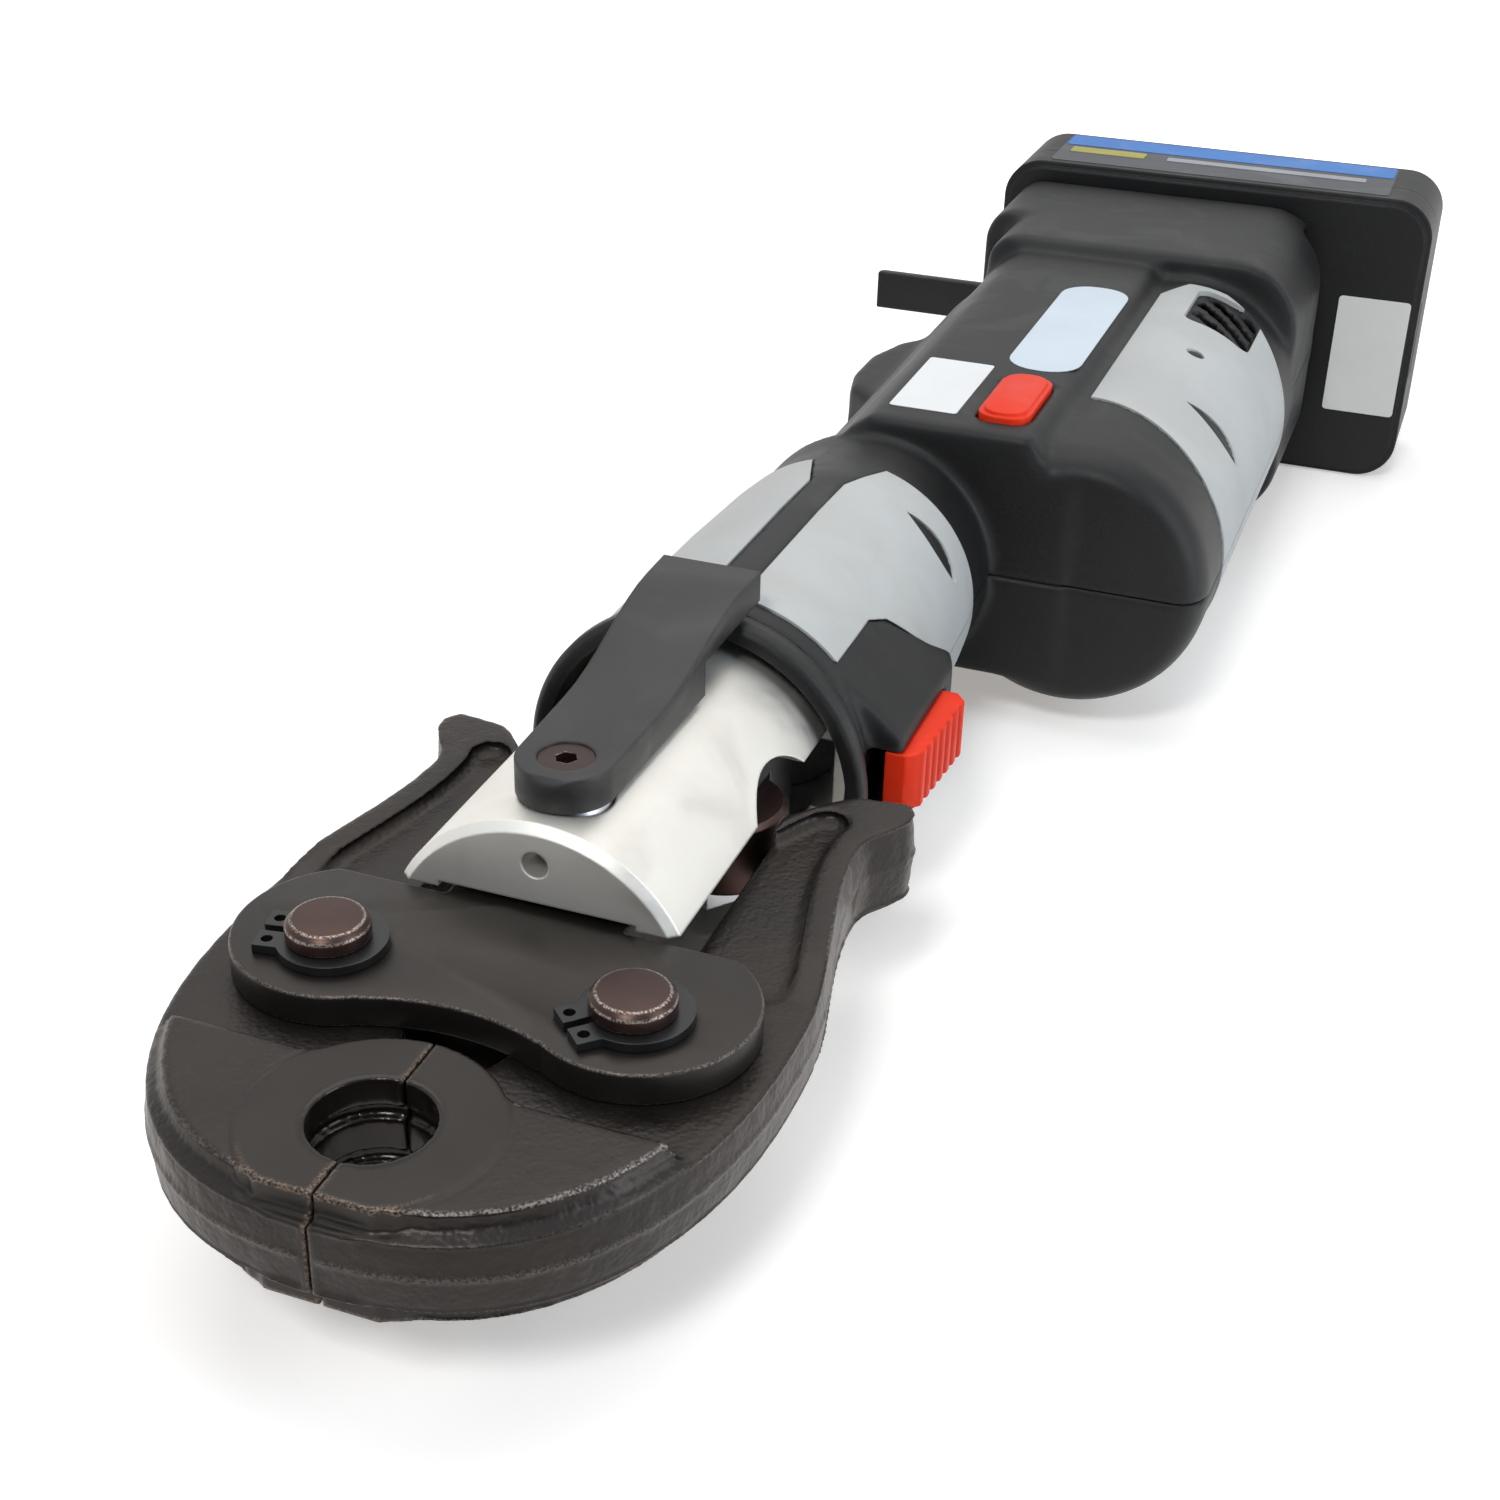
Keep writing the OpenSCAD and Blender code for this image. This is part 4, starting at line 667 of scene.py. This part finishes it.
def paint_jaw(mesh, place, normal, soft, seam, outward):
    """Bright worn upper edges, with a painted highlight towards the right, a tan split, and the forged and
    polished shares.
    """
    bulge = bulge_of(mesh, place, normal)
    height = np.abs(place[:, 2])
    upper = np.clip((height - EDGE_HEIGHT) / EDGE_SPAN, EDGE_LEAST, 1.0)
    top_edge = upper * (outward > EDGE_FACING) * (soft > HALF_SOFT)
    # Painted highlight: the share of the worn brightness grows towards the right.
    highlight_side = np.clip(MIDDLE_HIGHLIGHT + place[:, 0] / HIGHLIGHT_WIDTH, LEAST_HIGHLIGHT, 1.0)
    worn = rise(bulge, EDGE_BULGE, BULGE_SPAN) * top_edge * highlight_side
    paint(mesh, "worn", np.maximum(worn, SEAM_WEAR * seam))
    split = (1.0 - rise(np.abs(place[:, 0]), TAN_FROM, TAN_SPAN)) * (place[:, 1] < SPLIT_END)
    outer = (height > TAN_HEIGHT) | (place[:, 1] < TAN_FRONT)
    front_rim = (soft < HALF_SOFT) & (height > RIM_HEIGHT) & (place[:, 1] < RIM_FRONT)
    rim = rise(bulge, RIM_BULGE, BULGE_SPAN) * front_rim
    paint(mesh, "tan", np.maximum(split * outer, RIM_TAN * rim))
    paint(mesh, "forged", soft)
    paint(mesh, "polished", BORE_REACH - from_axis(place))


print("wear starts at a bulge of", EDGE_BULGE)

# %% Both jaws
joint_pos = {j["name"]: Vector(j["pos_m"]) for j in frame["joints"] if "pos_m" in j}


def forged_jaw(name):
    """The jaw as it comes from the forge and the mill."""
    pin = (np.array(joint_pos[name + "_pivot"]) - np.array(BORE)) / MM
    mesh = shaped(nodes[name].data.copy(), "REMESH", mode="VOXEL", voxel_size=SKIN * MM)
    place = coordinates(mesh)
    soft = forging(place, pin)
    place = eased(mesh, place, soft, FORGE_ROUNDS)
    normal = normals_of(mesh, place)
    outward = facing_out(place, normal)
    seam = die_marks(place, normal, soft, outward)
    paint_jaw(mesh, place, normals_of(mesh, place), soft, seam, outward)
    return stand_for(name, mesh, sharp=60.0)


for name in ("jaw_left", "jaw_right"):
    forged_jaw(name)

# %% [markdown]
# ## Moulded housing
# The two halves of the housing are moulded, so every form runs into the next with a fillet. The solid
# has the forms and the seats. Here its skin is eased wherever no other piece is near, strongly on the
# body and lightly on the neck and the front of the body, which have crisper edges. Where a panel, a
# screw or the other half lies close, the weight falls to nothing and the vertices lie on the solid.

# %% What lies near the housing
PRESSED = Vector((-3.0 * MM, 0.0, 0.0))


def neighbours_of(name):
    """A search tree of the faces of every other solid, with the trigger at rest and pressed."""
    corners, faces = [], []
    places = [(other, Vector()) for other in nodes if other != name]
    places.append(("trigger", PRESSED))
    for other, moved in places:
        start = len(corners)
        corners.extend(v.co + moved for v in nodes[other].data.vertices)
        faces.extend([start + i for i in p.vertices] for p in nodes[other].data.polygons)
    return BVHTree.FromPolygons(corners, faces)


print("trigger travel", round(-PRESSED.x / MM, 2), "mm")

# %% Housing halves
MOULD_SKIN = 0.95
MOULD_ROUNDS = 13
FRONT_END = 217.0
FRONT_SHARE = 0.5
VENT = (51.7, 315.3)
VENT_REACH = 13.0
VENT_FADE = 3.0


def moulded(name, seat=1.2, free=4.0):
    """A half of the housing: eased where the nearest piece is further than free, kept within seat."""
    mesh = shaped(nodes[name].data.copy(), "REMESH", mode="VOXEL", voxel_size=MOULD_SKIN * MM)
    near = neighbours_of(name)
    own = BVHTree.FromPolygons([v.co.copy() for v in nodes[name].data.vertices],
                               [list(p.vertices) for p in nodes[name].data.polygons])
    gap = np.full(len(mesh.vertices), free)
    for vertex in mesh.vertices:
        found = near.find_nearest(vertex.co, free * MM)
        if found[0] is not None:
            gap[vertex.index] = found[3] / MM
        vertex.co = own.find_nearest(vertex.co)[0]
    place = coordinates(mesh)
    weight = rise(gap, seat, free - seat)
    weight *= np.where(place[:, 1] < FRONT_END, FRONT_SHARE, 1.0)
    weight *= rise(from_axis(place, *VENT), VENT_REACH, VENT_FADE)
    normals_of(mesh, eased(mesh, place, weight, MOULD_ROUNDS))
    return stand_for(name, mesh, sharp=50.0)


for name in ("housing_upper", "housing_lower"):
    moulded(name)

# %% [markdown]
# ## Coil springs
# A compression spring is a wire on a helix whose end turns lie close, so that it stands square. That is
# a rule, so Geometry Nodes make it: a line of points is wound by its own parameter, with the pitch of
# the end turns set by the wire and that of the turns between by the length left over, and a circle is
# swept along it. A Screw modifier is the quick way, but it can't close the end turns.

# %% Spring tree
HELIX_POINTS = 400
WIRE_SIDES = 10
CLOSED_TURNS = 2.0


def spring_tree():
    """Wire, radius, length and turns make a helix along Z with one closed turn at each end."""
    tree = bpy.data.node_groups.new("coil_spring", "GeometryNodeTree")
    tree.interface.new_socket(name="Geometry", in_out="OUTPUT", socket_type="NodeSocketGeometry")
    for label, value in (("Wire", 0.001), ("Radius", 0.003), ("Length", 0.02), ("Turns", 8.0)):
        socket = tree.interface.new_socket(name=label, in_out="INPUT", socket_type=FLOAT)
        socket.default_value = value
    tree.interface.new_socket(name="Finish", in_out="INPUT", socket_type="NodeSocketMaterial")
    given = tree.nodes.new("NodeGroupInput").outputs

    def maths(operation, a, b=0.0):
        return math_node(tree, operation, a, b)

    line = add(tree, "GeometryNodeCurvePrimitiveLine")
    points = add(tree, "GeometryNodeResampleCurve", {"Curve": line.outputs[0], "Count": HELIX_POINTS})
    along = add(tree, "GeometryNodeSplineParameter").outputs["Factor"]
    turn = maths("MULTIPLY", along, given["Turns"])
    active = maths("SUBTRACT", given["Turns"], CLOSED_TURNS)
    closed_height = maths("MULTIPLY", given["Wire"], CLOSED_TURNS + 1.0)
    pitch = maths("DIVIDE", maths("SUBTRACT", given["Length"], closed_height), active)
    first = maths("MULTIPLY", maths("MINIMUM", turn, 1.0), given["Wire"])
    middle = maths("MINIMUM", maths("MAXIMUM", maths("SUBTRACT", turn, 1.0), 0.0), active)
    last = maths("MAXIMUM", maths("SUBTRACT", turn, maths("ADD", active, 1.0)), 0.0)
    climb = maths("ADD", first, maths("MULTIPLY", middle, pitch))
    climb = maths("ADD", climb, maths("MULTIPLY", last, given["Wire"]))
    climb = maths("ADD", climb, maths("MULTIPLY", given["Wire"], 0.5))
    angle = maths("MULTIPLY", turn, 2.0 * math.pi)
    across = maths("MULTIPLY", maths("COSINE", angle), given["Radius"])
    beside = maths("MULTIPLY", maths("SINE", angle), given["Radius"])
    spot = add(tree, "ShaderNodeCombineXYZ", {"X": across, "Y": beside, "Z": climb}).outputs[0]
    wound = add(tree, "GeometryNodeSetPosition", {"Geometry": points.outputs[0], "Position": spot})
    wire = add(tree, "GeometryNodeCurvePrimitiveCircle",
               {"Resolution": WIRE_SIDES, "Radius": maths("MULTIPLY", given["Wire"], 0.5)})
    swept = add(tree, "GeometryNodeCurveToMesh",
                {"Curve": wound.outputs[0], "Profile Curve": wire.outputs[0], "Fill Caps": True})
    real = add(tree, "GeometryNodeRealizeInstances", {"Geometry": swept.outputs[0]})
    done = add(tree, "GeometryNodeSetMaterial", {"Geometry": real.outputs[0], "Material": given["Finish"]})
    tree.links.new(done.outputs[0], tree.nodes.new("NodeGroupOutput").inputs[0])
    return tree


coil_spring = spring_tree()
inputs = [item for item in coil_spring.interface.items_tree if item.in_out == "INPUT"]
socket_id = {item.name: item.identifier for item in inputs}
print("tree", coil_spring.name, sorted(socket_id))

# %% Springs in place


def spring(name, axis, wire, turns):
    """A wound spring in the box of its solid, along one axis of the tool."""
    low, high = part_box(name)
    length = (high - low)[axis]
    across = max((high - low)[k] for k in range(3) if k != axis)
    helper = bpy.data.objects.new(name + "_helper", bpy.data.meshes.new(name + "_helper"))
    bpy.context.scene.collection.objects.link(helper)
    modifier = helper.modifiers.new("coil", "NODES")
    modifier.node_group = coil_spring
    values = {"Wire": wire * MM, "Radius": across / 2 - wire * MM / 2, "Length": length, "Turns": turns,
              "Finish": finishes[slot_of[name]]}
    for label, value in values.items():
        modifier[socket_id[label]] = value
    mesh = bpy.data.meshes.new_from_object(helper.evaluated_get(bpy.context.evaluated_depsgraph_get()))
    bpy.data.objects.remove(helper)
    middle = (low + high) / 2
    start = Vector([low[k] if k == axis else middle[k] for k in range(3)])
    turned = (Matrix.Rotation(math.pi / 2, 4, "Y"), Matrix.Rotation(-math.pi / 2, 4, "X"), Matrix())[axis]
    mesh.transform(Matrix.Translation(start) @ turned)
    return stand_for(name, mesh)


X, Y, Z = 0, 1, 2
jaw_coil = spring("jaw_spring", X, wire=1.3, turns=8)
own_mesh(jaw_coil)
spring("return_spring", Y, wire=2.0, turns=5)
trigger_coil = spring("trigger_spring", X, wire=0.8, turns=5)
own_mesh(trigger_coil)
button_coil = spring("button_spring", Z, wire=0.9, turns=8)
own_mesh(button_coil)

# %% [markdown]
# ## Labels
# Printed film labels sit on the flat top, the battery's front and its top. They stay blank. Each is a
# thin sheet with round corners and a soft edge. A plane with a Solidify modifier would do as well, but
# the outline is only a few points, so the two faces and the rim are written out from it directly.

# %% Label finishes
FILM_FINISH = {"rough": 0.42, "specular": 0.25, "height": 0.002, "radius": 0.1, "wear": 0.3}
LABELS = {
    "label_white": ((0.82, 0.835, 0.84), (0.78, 0.795, 0.80)),
    "label_ice": ((0.64, 0.72, 0.79), (0.60, 0.68, 0.75)),
    "label_cream": ((0.90, 0.89, 0.84), (0.85, 0.84, 0.79)),
    "label_blue": ((0.045, 0.20, 0.56), (0.04, 0.17, 0.50)),
    "label_yellow": ((0.40, 0.36, 0.07), (0.34, 0.31, 0.06)),
    "label_grey": ((0.070, 0.073, 0.080), (0.058, 0.060, 0.067)),
    "label_mist": ((0.34, 0.35, 0.37), (0.30, 0.31, 0.33)),
}


def paler(colour):
    """The colour that shows where a film is rubbed."""
    return tuple(0.7 * part + 0.25 for part in colour)


make_finishes({
    name: dict(colour=colour, second=second, rubbed=paler(colour), **FILM_FINISH)
    for name, (colour, second) in LABELS.items()
})

# %% Labels in place
FILM = 0.12
SUNK = 0.02


def label(name, size, corner, material, origin, across, along, body, slot, steps=6):
    """A film sheet on a body: width and length in millimetres, laid from origin across and along.

    The outline goes round its four corners by their radius. It is sunk a little, so that no gap shows
    under the film, and stands out by the film's thickness.
    """
    up = across.cross(along)
    centres = ((size[0] - corner, size[1] - corner, 0), (corner, size[1] - corner, 90),
               (corner, corner, 180), (size[0] - corner, corner, 270))
    outline = []
    for x, y, start in centres:
        for step in range(steps + 1):
            angle = math.radians(start + 90.0 * step / steps)
            outline.append((x + corner * math.cos(angle), y + corner * math.sin(angle)))
    count = len(outline)
    under = [origin + (across * x + along * y - up * SUNK) * MM for x, y in outline]
    over = [point + up * (FILM + SUNK) * MM for point in under]
    edge_faces = [(k, (k + 1) % count, count + (k + 1) % count, count + k) for k in range(count)]
    flat_faces = [tuple(reversed(range(count))), tuple(range(count, 2 * count))]
    mesh = bpy.data.meshes.new(name)
    mesh.from_pydata(under + over, [], flat_faces + edge_faces)
    mesh.materials.append(finishes[material])
    piece = new_piece(name, mesh, body)
    print(piece.name, [round(x, 1) for x in size], "mm")
    return piece


U, V, W = Vector((1, 0, 0)), Vector((0, 1, 0)), Vector((0, 0, 1))
PACK_TOP = 37.2
CELL_FACE = 389.9
FLAT_TOP = 30
ON_FILM = PACK_TOP + FILM
PLASTIC = "black_plastic"
label("rating_label", (14, 31), 0.8, "label_white", at(0.5, 216, FLAT_TOP), U, V, "housing", PLASTIC)
label("service_label", (15.4, 62), 7.0, "label_ice", at(15.8, 248, FLAT_TOP), U, V, "housing", PLASTIC)
label("cell_label", (18.2, 31), 1.0, "label_cream", at(71.2, CELL_FACE, -19.5), U, W, "battery", PLASTIC)
label("pack_label", (88, 28.5), 1.5, "label_grey", at(-9, 394, PACK_TOP), U, V, "battery", PLASTIC)
label("pack_band", (87, 10.5), 1.0, "label_blue", at(-8.5, 411.5, ON_FILM), U, V, "battery", PLASTIC)
label("pack_field", (20, 5.5), 0.5, "label_yellow", at(-6, 404, ON_FILM), U, V, "battery", PLASTIC)
label("pack_strip", (52, 3.6), 0.5, "label_mist", at(20, 404.5, ON_FILM), U, V, "battery", PLASTIC)

# %% [markdown]
# ## Table
# The tool lies on its nose ring and on the battery's front edge, so the table top is a plane through
# both. It is white, and a little brighter to the eye and in reflections than its light makes it: a painted
# glow, faint near the tool and full further out, and warm, so that it paints the shadow tan. That gives
# the pale surround and keeps the shadow, and no more light falls on the tool for it.

# %% Table top
TABLE_HALF = 12.0
RING_REST = 0.002
PACK_REST = 0.0115
CLEARANCE = 0.0003
SQUARE = ((-1, -1), (1, -1), (1, 1), (-1, 1))
ring_low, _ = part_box("nose_ring")
pack_low, pack_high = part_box("battery_case_front")
front_rest = (ring_low.y + RING_REST, ring_low.z)
rear_rest = (pack_high.y - PACK_REST, pack_low.z)
slope = (rear_rest[1] - front_rest[1]) / (rear_rest[0] - front_rest[0])


def table_height(y):
    """The height of the table top, which slopes along the tool."""
    return front_rest[1] + slope * (y - front_rest[0]) - CLEARANCE


sheet_mesh = bpy.data.meshes.new("table")
corners = [(x * TABLE_HALF, y * TABLE_HALF, table_height(y * TABLE_HALF)) for x, y in SQUARE]
sheet_mesh.from_pydata(corners, [], [(0, 1, 2, 3)])
table = bpy.data.objects.new("table", sheet_mesh)
bpy.context.scene.collection.objects.link(table)
print("table slope", round(math.degrees(math.atan(slope)), 2), "degrees")

# %% Table finish
LIT_WHITE = (0.30, 0.30, 0.30)
SEEN_WHITE = (0.90, 0.90, 0.90)
# Painted light: the glow is faint near the tool so its shadow stays, full further out, and warm, which paints
# the shadow tan.
GLOW_TINT = (1.0, 0.94, 0.88)
GLOW_FROM, GLOW_TO = 0.25, 0.8
GLOW_NEAR, GLOW_FAR = 0.34, 1.0


def seen_rays(tree):
    """One for rays that show the background: straight, mirrored or through glass."""
    path = add(tree, "ShaderNodeLightPath").outputs
    seen = math_node(tree, "MAXIMUM", path["Is Camera Ray"], path["Is Glossy Ray"])
    return math_node(tree, "MAXIMUM", seen, path["Is Transmission Ray"])


white = bpy.data.materials.new("table_white")
white.use_nodes = True
tree = white.node_tree
shader = tree.nodes["Principled BSDF"]
tree.links.new(mix_colour(tree, seen_rays(tree), LIT_WHITE, SEEN_WHITE), shader.inputs["Base Color"])
shader.inputs["Roughness"].default_value = 0.55
shader.inputs["Specular IOR Level"].default_value = 0.2
shader.inputs["Emission Color"].default_value = (*GLOW_TINT, 1.0)
spot = add(tree, "ShaderNodeTexCoord").outputs["Object"]
away = add(tree, "ShaderNodeVectorMath", {0: spot}, operation="LENGTH").outputs["Value"]
spread = ramp(tree, away, GLOW_FROM, GLOW_TO, GLOW_NEAR, GLOW_FAR)
tree.links.new(math_node(tree, "MULTIPLY", seen_rays(tree), spread), shader.inputs["Emission Strength"])
sheet_mesh.materials.append(white)
print("table glow", GLOW_NEAR, "to", GLOW_FAR)

# %% [markdown]
# ## Light
# The world is a light tent: bright above and behind the tool, and open, so darker and bluer, at the front
# where the camera stands. The eye sees it white all round, and metal mirrors that white except towards
# the open front. Three soft boxes shape the tool: one above, a small one over the jaw, and a cool one on
# the right. A picture of a real studio round the tool would do the same, but it couldn't be tuned by name.

# %% World
OPEN_TILT = 0.12
OPEN_FROM, OPEN_TO = -0.1, 0.7
BACK_LIGHT, FRONT_LIGHT = 0.40, 0.25
BACK_SKY, FRONT_SKY = (0.98, 0.99, 1.0), (0.55, 0.75, 1.0)
DIM_FROM, DIM_TO, DIMMED = 0.25, 0.85, 0.06
PURE_WHITE = (1.0, 1.0, 1.0)
world = bpy.data.worlds.new("light_tent")
bpy.context.scene.world = world
world.use_nodes = True
tree = world.node_tree
backdrop = tree.nodes["Background"]
tent = add(tree, "ShaderNodeBackground")
ray = add(tree, "ShaderNodeTexCoord").outputs["Generated"]
open_side = (-view_ahead.x, -view_ahead.y, OPEN_TILT)
facing = add(tree, "ShaderNodeVectorMath", {0: ray, 1: open_side}, operation="DOT_PRODUCT").outputs["Value"]
tree.links.new(ramp(tree, facing, OPEN_FROM, OPEN_TO, BACK_LIGHT, FRONT_LIGHT), tent.inputs["Strength"])
sky = mix_colour(tree, ramp(tree, facing, OPEN_FROM, OPEN_TO), BACK_SKY, FRONT_SKY)
tree.links.new(sky, tent.inputs["Color"])
straight = add(tree, "ShaderNodeLightPath").outputs["Is Camera Ray"]
mirrored = ramp(tree, facing, DIM_FROM, DIM_TO, 1.0, DIMMED)
tree.links.new(math_node(tree, "MAXIMUM", straight, mirrored), backdrop.inputs["Strength"])
tree.links.new(mix_colour(tree, straight, sky, PURE_WHITE), backdrop.inputs["Color"])
pick = add(tree, "ShaderNodeMixShader", {"Fac": seen_rays(tree), 1: tent.outputs[0], 2: backdrop.outputs[0]})
tree.links.new(pick.outputs[0], tree.nodes["World Output"].inputs["Surface"])
print("world", world.name)

# %% Lamps


def soft_box(name, place, target, size, watts, tint):
    """A large rectangular lamp at a place, turned to a target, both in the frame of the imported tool."""
    lamp = bpy.data.lights.new(name, "AREA")
    lamp.shape = "RECTANGLE"
    lamp.size, lamp.size_y = size
    lamp.energy = watts
    lamp.color = tint
    obj = bpy.data.objects.new(name, lamp)
    bpy.context.scene.collection.objects.link(obj)
    obj.location = place
    obj.rotation_euler = (Vector(target) - Vector(place)).to_track_quat("-Z", "Y").to_euler()
    print("lamp", name, watts, "W")


soft_box("overhead", place=(-0.15, 0.25, 1.0), target=(0.0, -0.05, 0.0), size=(1.1, 0.9), watts=4.8,
         tint=(1.0, 0.99, 0.97))
soft_box("key", place=(0.0, -1.0, 1.1), target=(0.0, -0.1, 0.0), size=(0.3, 0.3), watts=8.5,
         tint=(1.0, 0.98, 0.95))
soft_box("right_fill", place=(0.85, -0.15, 0.35), target=(0.0, -0.1, 0.0), size=(0.4, 1.0), watts=5.0,
         tint=(0.86, 0.93, 1.0))

# %% [markdown]
# ## View
# The view transform is plain.

# %% View transform
bpy.context.scene.view_settings.view_transform = "Standard"
